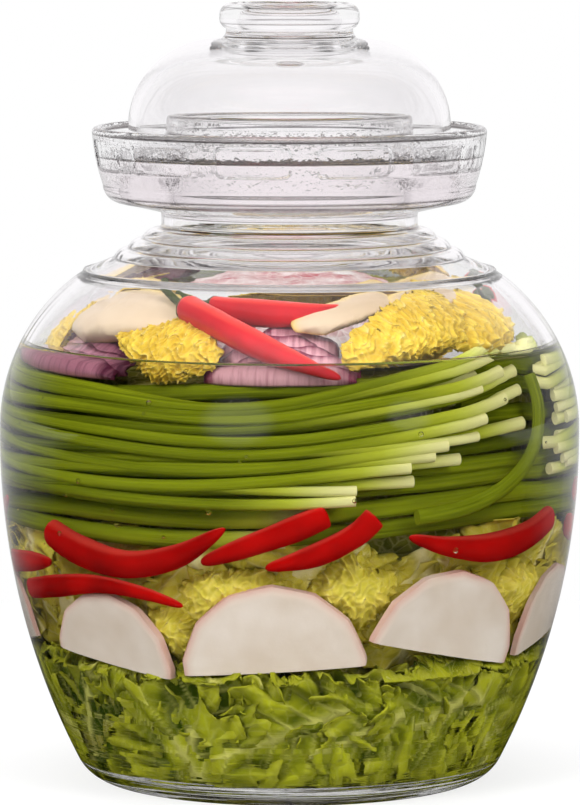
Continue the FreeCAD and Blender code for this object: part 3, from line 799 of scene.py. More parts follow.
class Outline:
    """A closed outline of radius and height that is turned round the axis."""

    def __init__(self, start: Point) -> None:
        """Start the outline at a point."""
        self.points: list[Point] = [start]

    def line(self, end: Point, count: int = 6) -> "Outline":
        """Add a straight edge, split so that its shading stays flat."""
        here = self.points[-1]
        for i in range(1, count + 1):
            share = 0.5 - 0.5 * math.cos(math.pi * i / count)
            self.points.append((here[0] + (end[0] - here[0]) * share, here[1] + (end[1] - here[1]) * share))
        return self

    def arc(self, middle: Point, end: Point, count: int = 8) -> "Outline":
        """Add an arc through a middle point."""
        a, b, c = (complex(*p) for p in (self.points[-1], middle, end))
        w = (c - a) / (b - a)
        centre = (b - a) * (w - abs(w) ** 2) / (2j * w.imag) + a
        first, mid, last = (math.atan2((p - centre).imag, (p - centre).real) for p in (a, b, c))
        turn = (last - first) % (2 * math.pi)
        if (mid - first) % (2 * math.pi) > turn:
            turn -= 2 * math.pi
        for i in range(1, count + 1):
            angle = first + turn * i / count
            self.points.append((centre.real + abs(a - centre) * math.cos(angle),
                                centre.imag + abs(a - centre) * math.sin(angle)))
        return self

    def corner(self, end: Point, upright: bool, count: int = 8) -> "Outline":
        """Add a rounding that starts upright or level."""
        here = self.points[-1]
        half = math.sqrt(0.5)
        across, along = (1 - half, half) if upright else (half, 1 - half)
        middle = (here[0] + (end[0] - here[0]) * across, here[1] + (end[1] - here[1]) * along)
        return self.arc(middle, end, count)

    def wall(self, form: JarForm, high: float, inset: float, count: int = 30) -> "Outline":
        """Follow the body's wall to a height."""
        for z in np.linspace(self.points[-1][1], high, count + 1)[1:]:
            self.points.append((float(form.radius(z, inset)), float(z)))
        return self

    def solid(self, steps: int | np.ndarray) -> tuple[np.ndarray, list]:
        """Turn the outline round the axis.

        Args:
            steps: Number of even steps round the axis, or the turns themselves in degrees.

        Returns:
            Points and faces of the closed solid.
        """
        path = self.points[:-1] if np.allclose(self.points[0], self.points[-1]) else self.points
        even = np.ndim(steps) == 0
        angle = np.linspace(0, 2 * math.pi, steps, endpoint=False) if even else np.radians(steps)
        segments = len(angle)
        verts, rings = [], []
        for r, z in path:
            size = 1 if r < 1e-6 else segments
            rings.append((len(verts), size))
            verts += [(0.0, 0.0, z)] if size == 1 else [(r * math.sin(t), -r * math.cos(t), z) for t in angle]
        faces = []
        for (a, na), (b, nb) in zip(rings, rings[1:] + rings[:1]):
            if na == nb == 1:
                continue
            for j in range(segments):
                k = (j + 1) % segments
                ring = [a + (j if na > 1 else 0), a + k if na > 1 else None,
                        b + k if nb > 1 else None, b + (j if nb > 1 else 0)]
                faces.append(tuple(i for i in ring if i is not None))
        return np.array(verts), faces


# Outlines of the napa leaves that show on top, as turns and heights
LEFT_FRILL = ((-52.4, 174.8), (-40.2, 179.9), (-29.0, 181.0), (-20.3, 175.6), (-16.2, 168.9), (-17.8, 162.6),
              (-23.9, 158.7), (-30.9, 157.1), (-37.8, 163.2), (-45.6, 168.8))
LEFT_RIB = ((-84.0, 172.0), (-82.0, 180.0), (-72.0, 186.5), (-57.6, 189.2), (-40.9, 188.4), (-27.7, 182.1),
            (-27.5, 176.3), (-38.1, 173.5), (-49.4, 170.9), (-66.0, 168.5))
RIGHT_FRILL = ((11.3, 164.6), (13.0, 172.1), (19.6, 178.9), (30.3, 184.9), (42.8, 188.9), (53.5, 189.4),
               (57.0, 181.4), (54.0, 172.6), (39.0, 168.3), (27.0, 164.9), (19.0, 162.8))
FAR_FRILL = ((44.0, 170.0), (51.0, 180.3), (62.0, 187.0), (76.0, 187.5), (84.0, 181.0), (83.0, 171.0),
             (68.0, 166.5), (50.0, 165.5))
RIGHT_RIB = ((31.5, 186.5), (50.0, 189.5), (70.0, 190.0), (80.0, 187.0), (66.0, 183.0), (41.0, 181.5), (31.5, 182.0))
MIDDLE_RIB = ((-2.0, 177.0), (3.0, 182.0), (13.0, 185.8), (25.0, 188.8), (36.0, 190.2), (37.0, 184.5),
              (23.0, 179.5), (9.0, 175.0))

# Outlines of the pale leaves that show between the radish slices, as turns and heights
GAP_LEAVES = (((-27.9, 82.9), (-24.3, 89.2), (-14.1, 92.6), (-4.6, 91.8), (-0.6, 86.5), (-6.6, 80.4), (-16.6, 74.9),
               (-23.6, 70.1)),
              ((-36.7, 75.8), (-29.1, 78.2), (-22.6, 73.1), (-21.1, 61.6), (-28.2, 55.2), (-34.7, 66.1)),
              ((2.5, 82.7), (8.4, 92.4), (14.7, 98.2), (17.4, 93.5), (26.7, 90.0), (25.2, 78.6), (17.7, 68.8),
               (9.9, 74.5)),
              ((54.0, 82.0), (62.0, 90.0), (72.0, 88.0), (76.0, 77.5), (68.0, 66.0), (60.0, 70.0)))


# Glass and liquids


@dataclass
class JarGlass:
    """The pressed jar with its neck and moat."""

    form: JarForm
    finish: ClearFinish
    segments: int = 120
    panel_count: int = 12
    panel_sweep: float = 21.5
    panel_depth: float = 0.3
    panel_groove: float = 0.45
    panel_margins: Point = (6.5, 2.5)
    panel_corner: float = 2.5
    panel_edge: float = 0.7
    bead: float = 0.5

    def turns(self) -> np.ndarray:
        """Turns of the section round the axis, closer together at the panels' ends."""
        pitch = 360.0 / self.panel_count
        ends = [i * pitch + side * self.panel_sweep / 2 - self.panel_sweep / 2
                for i in range(self.panel_count) for side in (-1, 1)]
        edge = math.degrees(self.panel_edge / self.form.moat_r)
        close = [end + side * edge / 2 for end in ends for side in range(-2, 3)]
        even = np.arange(self.segments) * 360.0 / self.segments
        kept = [t for t in even if min(abs((t - end + 180) % 360 - 180) for end in ends) > 1.5 * edge]
        return np.unique(np.round(np.mod(np.array(kept + close), 360.0), 4))

    def outline(self) -> Outline:
        """Draw the whole section of the jar."""
        f = self.form
        base, top = f.heel(0.0, f.heel_r, 0.0)
        in_base, in_top = f.heel(f.floor_t, f.inner_heel_r, f.wall)
        foot, side, rim = f.moat_curve(0.0)
        in_foot, in_side, in_rim = f.moat_curve(f.moat_wall)
        under_z = f.neck_root_z + f.neck_length
        lip_z = f.moat_floor_z + f.mouth_h
        lip_r = f.neck_r - f.neck_taper
        out = Outline((0.0, f.punt_depth)).line((f.punt_r - f.punt_bevel, f.punt_depth))
        out.line((f.punt_r, 0.0)).line((base, 0.0))
        out.arc(f.heel_middle(base, 0.0, f.heel_r, top), top, 14)
        out.wall(f, f.shoulder_z, 0.0, 44).wall(f, f.ridge_z, 0.0, 30)
        out.arc((f.ridge_r + self.bead / 2, f.ridge_z + 1.2 * self.bead),
                (f.ridge_r - self.bead, f.ridge_z + self.bead), 8)
        out.line((f.ridge_r - f.slope[0], f.ridge_z + f.slope[1]))
        self._steps(out)
        out.corner((f.neck_r, f.neck_root_z + f.neck_fillet), False)
        out.line((f.neck_r, under_z - f.neck_fillet), 4)
        out.corner((f.neck_r + f.neck_fillet, under_z), True)
        out.line((foot[0] - f.moat_corner, under_z + f.moat_rise)).corner(foot, False, 10)
        out.arc(side, rim, 44).corner(((rim[0] + in_rim[0]) / 2, rim[1] + f.lip_round), True)
        out.corner(in_rim, False).arc(in_side, in_foot, 14)
        out.corner((in_foot[0] - f.moat_corner, f.moat_floor_z), True, 10)
        out.line((f.neck_r + f.neck_fillet, f.moat_floor_z))
        out.corner((f.neck_r, f.moat_floor_z + f.neck_fillet), False)
        out.line((lip_r, lip_z - f.lip_round), 10).corner((lip_r - f.neck_wall / 2, lip_z), True)
        out.corner((lip_r - f.neck_wall, lip_z - f.lip_round), False)
        out.line((f.neck_r - f.neck_wall, f.neck_root_z - f.neck_fillet), 12)
        shrink = (f.shoulder_arc_r - f.wall) / f.shoulder_arc_r
        inner = f.body_r - f.shoulder_arc_r
        out.line((inner + (f.ridge_r - inner) * shrink, f.shoulder_z + (f.ridge_z - f.shoulder_z) * shrink))
        out.wall(f, f.shoulder_z, f.wall, 30).wall(f, in_top[1], f.wall, 44)
        out.arc(f.heel_middle(in_base, f.floor_t, f.inner_heel_r, in_top), (in_base, f.floor_t), 14)
        return out.line((0.0, f.floor_t)).line((0.0, f.punt_depth), 1)

    def _steps(self, out: Outline) -> None:
        """Add the moulded rings between the shoulder and the neck."""
        f = self.form
        start = out.points[-1]
        run = (f.neck_r + f.neck_fillet - start[0]) / f.step_count
        rise = (f.neck_root_z - start[1]) / f.step_count
        length = math.hypot(run, rise)
        for i in range(f.step_count):
            middle = (start[0] + run * (i + 0.5) + f.step_bulge * rise / length,
                      start[1] + rise * (i + 0.5) - f.step_bulge * run / length)
            out.arc(middle, (start[0] + run * (i + 1), start[1] + rise * (i + 1)), 10)

    def _wet(self, verts: np.ndarray) -> np.ndarray:
        """Mark the points of the glass that brine or water touches."""
        f = self.form
        radius, z = np.hypot(verts[:, 0], verts[:, 1]), verts[:, 2]
        inside = (z > f.floor_t - TOUCH) & (z < f.brine_z) & (radius < f.radius(z) - f.wall / 2)
        channel = (radius > f.neck_r - f.neck_wall / 2) & (radius < f.moat_r - f.moat_lean - f.moat_wall / 2)
        moat = (z > f.moat_floor_z - TOUCH) & (z < f.moat_floor_z + f.water_depth) & channel
        return (inside | moat).astype(float)

    def _press_panels(self, verts: np.ndarray) -> None:
        """Sink the panels and the grooves round them into the outside of the moat's wall."""
        foot, _, rim = self.form.moat_curve(0.0)
        radius = np.hypot(verts[:, 0], verts[:, 1])
        share = (verts[:, 2] - foot[1]) / (rim[1] - foot[1])
        face = foot[0] + (rim[0] - foot[0]) * share
        low, high = foot[1] + self.panel_margins[0], rim[1] - self.panel_margins[1]
        pitch = 360.0 / self.panel_count
        turn = np.degrees(np.arctan2(verts[:, 0], -verts[:, 1])) + self.panel_sweep / 2
        off = np.abs((turn + pitch / 2) % pitch - pitch / 2)
        across = np.radians(off - self.panel_sweep / 2) * radius + self.panel_corner
        up = np.abs(verts[:, 2] - (low + high) / 2) - (high - low) / 2 + self.panel_corner
        past = np.hypot(np.maximum(across, 0), np.maximum(up, 0)) + np.minimum(np.maximum(across, up), 0)
        inside = (self.panel_corner - past) / self.panel_edge
        sunk = self.panel_depth * np.clip(inside + 0.5, 0, 1)
        groove = self.panel_groove * np.clip(1 - np.abs(inside), 0, 1)
        mask = (sunk + groove) * (radius > face - 0.4) * (share > 0) * (share < 1)
        verts[:, :2] *= (1 - mask / np.maximum(radius, 1.0))[:, None]

    def build(self) -> Object:
        """Make the glass and set it on the jar's body."""
        verts, faces = self.outline().solid(self.turns())
        wet = self._wet(verts)
        self._press_panels(verts)
        piece = link_mesh("jar_glass", verts, faces, self.finish.material(), {"wet": wet})
        face_outwards(piece)
        return settle(piece, Body.JAR, "jar_glass", "jar_body")


@dataclass
class LidGlass:
    """The loose domed lid with its hollow knob."""

    form: JarForm
    finish: ClearFinish
    segments: int = 256
    seat_gap: float = 0.3
    skirt_h: float = 26.5
    dome_h: float = 32.0
    dome_in_r: float = 27.5
    roof_t: float = 4.5
    nub_r: float = 6.0
    nub_tip_r: float = 1.5
    nub_h: float = 2.0
    knob_r: float = 26.4
    waist: Point = (24.0, 4.2)
    rim_h: float = 8.8
    knob_h: float = 13.8
    knob_in_r: float = 19.5
    knob_fillet: float = 2.0

    def outline(self) -> Outline:
        """Draw the section of the lid."""
        f = self.form
        skirt_in = f.skirt_in_r
        skirt = skirt_in + f.lid_wall
        seat = f.moat_floor_z + self.seat_gap
        top = seat + self.skirt_h
        roof = top + self.dome_h
        under = roof - self.roof_t
        middle = (self.knob_r + self.knob_in_r) / 2
        out = Outline((0.0, roof)).line((self.knob_in_r - self.knob_fillet, roof))
        out.corner((self.knob_in_r, roof + self.knob_fillet), False).line((self.knob_in_r, roof + self.rim_h), 4)
        out.corner((middle, roof + self.knob_h), True).corner((self.knob_r, roof + self.rim_h), False)
        out.corner((self.waist[0], roof + self.waist[1]), True).corner((self.dome_in_r, roof), True)
        out.corner((skirt, top), False, 36).line((skirt, seat + f.lid_wall / 2), 12)
        out.corner((skirt - f.lid_wall / 2, seat), True, 5).corner((skirt_in, seat + f.lid_wall / 2), False, 5)
        out.line((skirt_in, top), 12).corner((self.dome_in_r, under), True, 36)
        out.line((self.nub_r, under)).corner((self.nub_tip_r, under - self.nub_h), True)
        return out.line((0.0, under - self.nub_h), 2).line((0.0, roof), 1)

    def build(self) -> Object:
        """Make the lid and set it on its own body."""
        verts, faces = self.outline().solid(self.segments)
        piece = link_mesh("lid_glass", verts, faces, self.finish.material())
        face_outwards(piece)
        return settle(piece, Body.LID, "lid_glass", "lid")


@dataclass
class Liquids:
    """Brine in the jar and water in the moat, wetting the glass."""

    form: JarForm
    brine_finish: ClearFinish
    water_finish: ClearFinish
    soak: float = 0.25
    meniscus: float = 1.0
    wet_edge: float = 0.2
    lip_lean: float = 1.0
    segments: int = 192

    def build(self) -> list[Object]:
        """Make both liquids."""
        return [self._brine(), self._water()]

    def _brine(self) -> Object:
        """Brine up to its level, with a small rise at the glass."""
        f = self.form
        inset = f.wall - self.soak
        floor = f.floor_t - self.soak
        base, top = f.heel(floor, f.inner_heel_r, inset)
        out = Outline((0.0, floor)).line((base, floor))
        out.arc(f.heel_middle(base, floor, f.inner_heel_r, top), top, 14)
        out.wall(f, f.shoulder_z, inset, 40).wall(f, f.brine_z + self.meniscus, inset, 16)
        edge = out.points[-1]
        out.corner((edge[0] - 2 * self.meniscus, f.brine_z), True, 8)
        out.line((0.0, f.brine_z), 8).line((0.0, floor), 1)
        verts, faces = out.solid(self.segments)
        top = (verts[:, 2] > f.brine_z - TOUCH) & (np.hypot(verts[:, 0], verts[:, 1]) < edge[0] - TOUCH)
        piece = link_mesh("brine_liquid", verts, faces, self.brine_finish.material(), {"wet": (~top).astype(float)})
        face_outwards(piece)
        return settle(piece, Body.JAR, "brine", "brine")

    def _water(self) -> Object:
        """Two rings of water in the moat, either side of the lid's skirt."""
        f = self.form
        level = f.moat_floor_z + f.water_depth
        bed = f.moat_floor_z - self.soak
        under = level - self.wet_edge
        skirt_out = f.skirt_in_r + f.lid_wall
        neck = f.neck_r - self.soak
        inner = Outline((neck + f.neck_fillet, bed)).line((f.skirt_in_r, bed))
        inner.line((f.skirt_in_r, under)).line((f.skirt_in_r, level + self.meniscus))
        inner.corner((f.skirt_in_r - self.meniscus, level), True, 5)
        lip = neck - self.lip_lean
        inner.line((lip + self.meniscus, level)).corner((lip, level + self.meniscus), False, 5)
        inner.line((lip + 0.1 * self.lip_lean, under)).line((neck, bed + f.neck_fillet))
        inner.corner((neck + f.neck_fillet, bed), True, 5)
        foot, _, rim = f.moat_curve(f.moat_wall - self.soak)
        share = (level - foot[1]) / (rim[1] - foot[1])
        edge = foot[0] + (rim[0] - foot[0]) * share + f.moat_lean / 8
        outer = Outline((skirt_out, bed)).line((foot[0] - f.moat_corner, bed)).corner(foot, False, 10)
        outer.line((edge, under)).line((edge, level + self.meniscus)).corner((edge - self.meniscus, level), True, 5)
        outer.line((skirt_out + self.meniscus, level)).corner((skirt_out, level + self.meniscus), False, 5)
        outer.line((skirt_out, under)).line((skirt_out, bed))
        points, faces = join_parts([inner.solid(self.segments), outer.solid(self.segments)])
        piece = link_mesh("moat_water", points, faces, self.water_finish.material(),
                          {"wet": (points[:, 2] < level - TOUCH).astype(float)})
        face_outwards(piece)
        return settle(piece, Body.JAR, "water", "seal_water")


# Vegetables


@dataclass
class Chilies:
    """Red chilies along the wall, each with its own route from the calyx to the tip."""

    form: JarForm
    sunk_finish: ChiliFinish
    top_finish: ChiliFinish
    thick: float = 5.6
    gap: float = 0.5
    rings: int = 56
    sides: int = 20
    blunt: float = 0.05
    calyx_length: float = 15.0
    routes: tuple = (
        ((-61.0, 101.5, 0.0, 0.93), (-50.0, 95.5, 0.0, 1.0), (-37.0, 92.5, 0.0, 0.96), (-24.0, 97.0, 0.0, 0.75),
         (-13.0, 108.0, 0.0, 0.25)),
        ((-86.0, 86.0, 0.0, 0.75), (-77.0, 87.5, 0.0, 0.75), (-68.0, 88.8, 0.5, 0.6), (-60.0, 90.0, 1.0, 0.28)),
        ((-75.0, 77.5, 0.0, 0.7), (-60.0, 81.2, 0.0, 0.75), (-45.0, 84.2, 0.0, 0.57), (-33.0, 82.5, 0.0, 0.46),
         (-23.0, 78.5, 0.0, 0.22)),
        ((8.0, 113.0, 0.0, 0.75), (0.0, 107.0, 0.0, 0.82), (-10.0, 100.5, 0.0, 0.7), (-18.5, 95.0, 0.0, 0.28)),
        ((18.0, 112.0, 0.0, 0.75), (13.5, 105.0, 0.0, 0.82), (5.0, 98.0, 0.0, 0.72), (-5.0, 93.5, 0.0, 0.28)),
        ((70.0, 105.5, 0.0, 0.9), (60.0, 100.0, 0.0, 0.96), (48.0, 97.5, 0.0, 0.93), (35.0, 99.5, 0.0, 0.68),
         (25.0, 104.0, 0.0, 0.25)),
        ((86.0, 112.5, 0.0, 0.78), (100.0, 108.5, 0.0, 0.85), (114.0, 106.0, 0.0, 0.75), (128.0, 105.5, 0.0, 0.28)),
        ((81.0, 100.0, 0.0, 0.78), (95.0, 96.0, 0.0, 0.85), (110.0, 95.0, 0.0, 0.75), (124.0, 96.5, 0.0, 0.28)),
        ((131.0, 98.0, 0.0, 0.85), (143.0, 93.5, 0.0, 0.93), (157.0, 93.5, 0.0, 0.82), (170.0, 99.5, 0.0, 0.28)),
        ((176.0, 95.0, 0.0, 0.82), (189.0, 101.0, 0.0, 0.85), (202.0, 107.0, 0.0, 0.7), (214.0, 110.5, 0.0, 0.28)),
        ((200.0, 93.0, 0.0, 0.78), (214.0, 95.5, 0.0, 0.9), (228.0, 99.5, 0.0, 0.78), (241.0, 106.0, 0.0, 0.28)),
        ((247.0, 93.5, 0.0, 0.82), (258.0, 97.5, 0.0, 0.9), (269.0, 103.0, 0.0, 0.75), (280.0, 110.0, 0.0, 0.28)))
    top_routes: tuple = (
        ((-31.0, 184.0, 2.0, 0.9), (-20.0, 179.5, 1.0, 0.93), (-10.0, 174.0, 0.0, 0.86), (2.0, 166.5, 0.0, 0.64),
         (11.0, 161.0, 0.0, 0.25)),
        ((-27.0, 184.0, 13.5, 0.74), (-13.0, 182.5, 13.0, 0.86), (3.0, 182.0, 12.5, 0.8), (18.0, 183.5, 12.0, 0.3)),
        ((97.0, 183.5, 2.0, 0.82), (108.0, 179.5, 1.0, 0.86), (120.0, 172.0, 0.0, 0.75), (130.0, 163.0, 0.0, 0.28)))

    def build(self, green: Material) -> list[Object]:
        """Make every chili.

        Args:
            green: Material of the calyx on the top chilies.

        Returns:
            The chilies, with their calyxes.
        """
        sunk, dry = self.sunk_finish.material(), self.top_finish.material()
        pieces = [self._chili(f"red_chili_{i + 1}", route, sunk, i) for i, route in enumerate(self.routes)]
        for i, route in enumerate(self.top_routes):
            pieces.append(self._chili(f"top_chili_{i + 1}", route, dry, 20 + i))
            pieces.append(self._calyx(f"top_chili_calyx_{i + 1}", route, green))
        return pieces

    def _path(self, route: tuple) -> tuple[np.ndarray, np.ndarray]:
        """Centre points and plain radii along a route."""
        line = catmull(np.array(route), self.rings)
        radii = line[:, 3] * self.thick
        return self.form.at(line[:, 0], line[:, 1], line[:, 2] + self.gap + radii), radii

    def _chili(self, name: str, route: tuple, skin: Material, seed: int) -> Object:
        """One chili with a rounded end, a slender tip and shallow folds."""
        centres, radii = self._path(route)
        share = np.linspace(0, 1, self.rings)
        head = np.clip(share / self.blunt, 0, 1)
        tip = np.clip((1 - share) / (2 * self.blunt), 0, 1)
        radii = radii * np.sqrt(1 - (1 - head) ** 2) * np.sqrt(1 - (1 - tip) ** 2) + 0.05
        angle = np.linspace(0, 2 * math.pi, self.sides, endpoint=False)
        folds = 1 + 0.05 * np.cos(3 * angle + seed)[None, :] * (1 - share)[:, None]
        dents = 1 + 0.05 * np.sin(9 * share + 2 * seed)[:, None]
        verts, faces = tube(centres, np.minimum(folds * dents, 1.06) * radii[:, None], self.sides)
        piece = link_mesh(name + "_skin", verts, faces, skin)
        return settle(piece, Body.JAR, "chili", name)

    def _calyx(self, name: str, route: tuple, green: Material) -> Object:
        """The green cap and stalk at a chili's end."""
        centres, radii = self._path(route)
        back = centres[0] - centres[3]
        back /= np.linalg.norm(back)
        steps = np.linspace(-0.12, 1, 14)
        path = centres[0] + back * (steps * self.calyx_length)[:, None]
        path[:, 2] += 3.0 * np.clip(steps, 0, 1) ** 2
        room = self.form.room(path[:, 2]) - 1.2
        radius = np.hypot(path[:, 0], path[:, 1])
        path[:, :2] *= np.minimum(1, (room - 1.5) / radius)[:, None]
        cap = np.interp(steps, (-0.12, 0.02, 0.12, 0.3, 1.0), (0.98, 0.9, 0.5, 0.26, 0.3)) * radii[2]
        return settle(link_mesh(name, *tube(path, cap, 12), green), Body.JAR, "stem")


@dataclass
class Stems:
    """Stems in rows round the jar, swept along their paths by a node tree."""

    form: JarForm
    finish: StemFinish
    radius: float = 3.2
    fan: float = 9.0
    sag: float = 5.0
    thin: float = 2.1
    cluster: tuple = ((-1.7, 0.0, 0.0), (1.8, 0.5, 5.0), (0.2, 3.6, 16.0))
    tuck: Point = (38.0, 54.0)
    tuck_depth: float = 5.0
    tuck_end: float = 68.0
    front_end: float = 66.0
    pitch: float = 6.85
    tilt: float = 1.5
    low_z: float = 120.8
    inner_low_z: float = 104.8
    inner_pitch: float = 7.0
    inner_inset: float = 12.3
    inner_rows: int = 8
    inner_round: int = 3
    inner_shift: float = 7.0
    sides: int = 18
    steps: int = 64
    seed: int = 11
    front: tuple = ((-95.0, 16.0), (-98.0, 27.0), (-93.0, 40.0), (-99.0, 46.0), (-92.0, 54.0), (-96.0, 52.0))
    right: tuple = ((72.0, 166.0), (70.0, 160.0), (74.0, 170.0), (71.0, 164.0), (69.0, 161.0), (71.0, 158.0))
    back: tuple = ((169.0, 261.0), (163.0, 258.0), (173.0, 263.0), (167.0, 257.0), (164.0, 264.0), (161.0, 260.0))
    bent_r: float = 3.1
    bent: tuple = ((62.0, 157.0), (62.5, 145.0), (59.0, 131.0), (50.0, 119.5), (38.0, 113.0), (27.0, 111.0))

    def build(self) -> list[Object]:
        """Make every bundle of stems."""
        skin = self.finish.material()
        tree = self._sweep_tree()
        rng = np.random.default_rng(self.seed)
        pieces = []
        for name, spans in (("front", self.front), ("right", self.right), ("back", self.back)):
            paths = []
            for i, (first, last) in enumerate(spans):
                for up, depth, more in self.cluster:
                    begin = first + rng.uniform(-4, 4)
                    end = (min(last + more, self.front_end) if name == "front" else last) + rng.uniform(-9, 4)
                    path = self._row(self.low_z + i * self.pitch + up, depth, begin, end, rng, i)
                    paths.append(path[::-1] if name == "right" else path)
            pieces.append(self._bundle(f"stems_{name}", paths, self.thin, skin, tree))
        step = 360.0 / self.inner_round
        paths = [self._row(self.inner_low_z + i * self.inner_pitch, self.inner_inset,
                           j * step + i * self.inner_shift, (j + 1) * step - 1.0 + i * self.inner_shift, rng, 0)
                 for i in range(self.inner_rows) for j in range(self.inner_round)]
        pieces.append(self._bundle("stems_inner", paths, self.radius, skin, tree))
        line = catmull(np.array(self.bent), self.steps)
        path = self.form.at(line[:, 0], line[:, 1], self.bent_r + 0.5)
        pieces.append(self._bundle("stem_bent", [path], self.bent_r, skin, tree, faded=False))
        return pieces

    def _row(self, z: float, inset: float, start: float, end: float, rng: np.random.Generator,
             row: int) -> np.ndarray:
        """A slightly uneven path of one stem round the jar, fanned upwards in the higher rows."""
        turn = np.linspace(start, end, self.steps)
        share = np.linspace(0, 1, self.steps)
        rise = np.radians(self.tilt) * self.form.body_r * np.sin(np.radians(turn))
        high = row / (len(self.front) - 1)
        rise += self.fan * high * np.clip(turn / 60.0, 0, 1) ** 1.4 * (turn < 90)
        rise -= self.sag * high * np.exp(-((turn + 12.0) / 26.0) ** 2)
        sway = 1.6 * np.sin(2 * math.pi * (share * rng.uniform(0.5, 1.1) + rng.uniform()))
        sway += rng.uniform(-2.4, 2.4) * (share - 0.5)
        depth = inset + self.thin + 0.4 + rng.uniform(0.0, 1.2)
        back = np.clip((turn - self.tuck[0]) / (self.tuck[1] - self.tuck[0]), 0, 1) * (turn < self.tuck_end)
        return self.form.at(turn, z + rise + sway, depth + 0.3 * np.abs(sway) + self.tuck_depth * back)

    def _sweep_tree(self) -> NodeTree:
        """The node tree that sweeps a round section along every path."""
        tree, start = start_tree("sweep_stems", Radius="Float", Sides="Int", Seed="Int")
        share = place(tree, "GeometryNodeSplineParameter").outputs["Factor"]
        kept = place(tree, "GeometryNodeStoreNamedAttribute",
                     {"Geometry": start.outputs["Geometry"], "Name": "along", "Value": share})
        tone = place(tree, "FunctionNodeRandomValue", {"Seed": start.outputs["Seed"]}, data_type="FLOAT")
        toned = place(tree, "GeometryNodeStoreNamedAttribute",
                      {"Geometry": kept.outputs[0], "Name": "tone", "Value": tone.outputs[1]}, domain="CURVE")
        ring = place(tree, "GeometryNodeCurvePrimitiveCircle",
                     {"Resolution": start.outputs["Sides"], "Radius": 1.0})
        round_share = place(tree, "GeometryNodeSplineParameter").outputs["Factor"]
        ringed = place(tree, "GeometryNodeStoreNamedAttribute",
                       {"Geometry": ring.outputs["Curve"], "Name": "around", "Value": round_share})
        swell = place(tree, "FunctionNodeRandomValue",
                      {2: 0.78, 3: 1.12, "Seed": start.outputs["Seed"]}, data_type="FLOAT")
        thick = math_node(tree, "MULTIPLY", start.outputs["Radius"], swell.outputs[1])
        held = place(tree, "GeometryNodeStoreNamedAttribute",
                     {"Geometry": toned.outputs[0], "Name": "thick", "Value": thick}, domain="CURVE")
        size = place(tree, "GeometryNodeInputNamedAttribute", {"Name": "thick"}, data_type="FLOAT")
        swept = place(tree, "GeometryNodeCurveToMesh",
                      {"Curve": held.outputs[0], "Profile Curve": ringed.outputs[0],
                       "Scale": size.outputs["Attribute"], "Fill Caps": True})
        return end_tree(tree, start, swept.outputs[0])

    def _bundle(self, name: str, paths: list[np.ndarray], radius: float, skin: Material,
                tree: NodeTree, faded: bool = True) -> Object:
        """Sweep a bundle of paths and turn it into a plain mesh."""
        curve = bpy.data.curves.new(name + "_paths", "CURVE")
        curve.dimensions = "3D"
        for path in paths:
            spline = curve.splines.new("POLY")
            spline.points.add(len(path) - 1)
            spline.points.foreach_set("co", np.column_stack([path * MM, np.ones(len(path))]).ravel())
        mesh = run_tree(link_object(name + "_paths", curve), tree, name + "_skin",
                        {"Radius": radius * MM, "Sides": self.sides, "Seed": self.seed, "Material": skin})
        if faded:
            self._fade(mesh)
        return settle(link_object(name + "_skin", mesh), Body.JAR, "stem", name)

    @staticmethod
    def _fade(mesh: Mesh) -> None:
        """Write how pale each point is: towards one end of a stem, and on its cut faces."""
        count = len(mesh.vertices)
        along, tone = np.zeros(count, np.float32), np.zeros(count, np.float32)
        mesh.attributes["along"].data.foreach_get("value", along)
        mesh.attributes["tone"].data.foreach_get("value", tone)
        start = 0.4 + 0.3 * tone
        pale = np.clip((along - start) / (1.03 - start), 0, 1) ** 1.3
        write_values(mesh, "pale", pale)


def start_tree(name: str, **kinds: str) -> tuple[NodeTree, Node]:
    """Start a geometry tree that takes a geometry, further inputs and a material.

    Args:
        name: Name of the tree.
        **kinds: Kind of each further input by its name.

    Returns:
        The tree and its input node.
    """
    tree = bpy.data.node_groups.new(name, "GeometryNodeTree")
    for key, kind in {"Geometry": "Geometry", **kinds, "Material": "Material"}.items():
        tree.interface.new_socket(key, in_out="INPUT", socket_type=f"NodeSocket{kind}")
    tree.interface.new_socket("Geometry", in_out="OUTPUT", socket_type="NodeSocketGeometry")
    return tree, tree.nodes.new("NodeGroupInput")


def end_tree(tree: NodeTree, start: Node, made: NodeSocket) -> NodeTree:
    """Shade what a geometry tree has made smooth, realize it, give it its material and put it out.

    Args:
        tree: Tree to end.
        start: Its input node.
        made: What it has made.

    Returns:
        The tree.
    """
    smooth = place(tree, "GeometryNodeSetShadeSmooth", {"Geometry": made})
    real = place(tree, "GeometryNodeRealizeInstances", {"Geometry": smooth.outputs[0]})
    dressed = place(tree, "GeometryNodeSetMaterial",
                    {"Geometry": real.outputs[0], "Material": start.outputs["Material"]})
    tree.links.new(dressed.outputs[0], tree.nodes.new("NodeGroupOutput").inputs[0])
    return tree


def run_tree(holder: Object, tree: NodeTree, name: str, values: dict) -> Mesh:
    """Run a geometry tree on an object and give the result as a plain mesh.

    Args:
        holder: Object that the tree starts from. It is removed.
        tree: Geometry node tree.
        name: Name of the mesh.
        values: Inputs of the tree by name.

    Returns:
        The mesh.
    """
    modifier = holder.modifiers.new("tree", "NODES")
    modifier.node_group = tree
    for item in tree.interface.items_tree:
        if item.item_type == "SOCKET" and item.in_out == "INPUT" and item.name in values:
            modifier[item.identifier] = values[item.name]
    depsgraph = bpy.context.evaluated_depsgraph_get()
    mesh = bpy.data.meshes.new_from_object(holder.evaluated_get(depsgraph), depsgraph=depsgraph)
    mesh.name = name
    holder.modifiers.remove(modifier)
    bpy.data.objects.remove(holder)
    return mesh


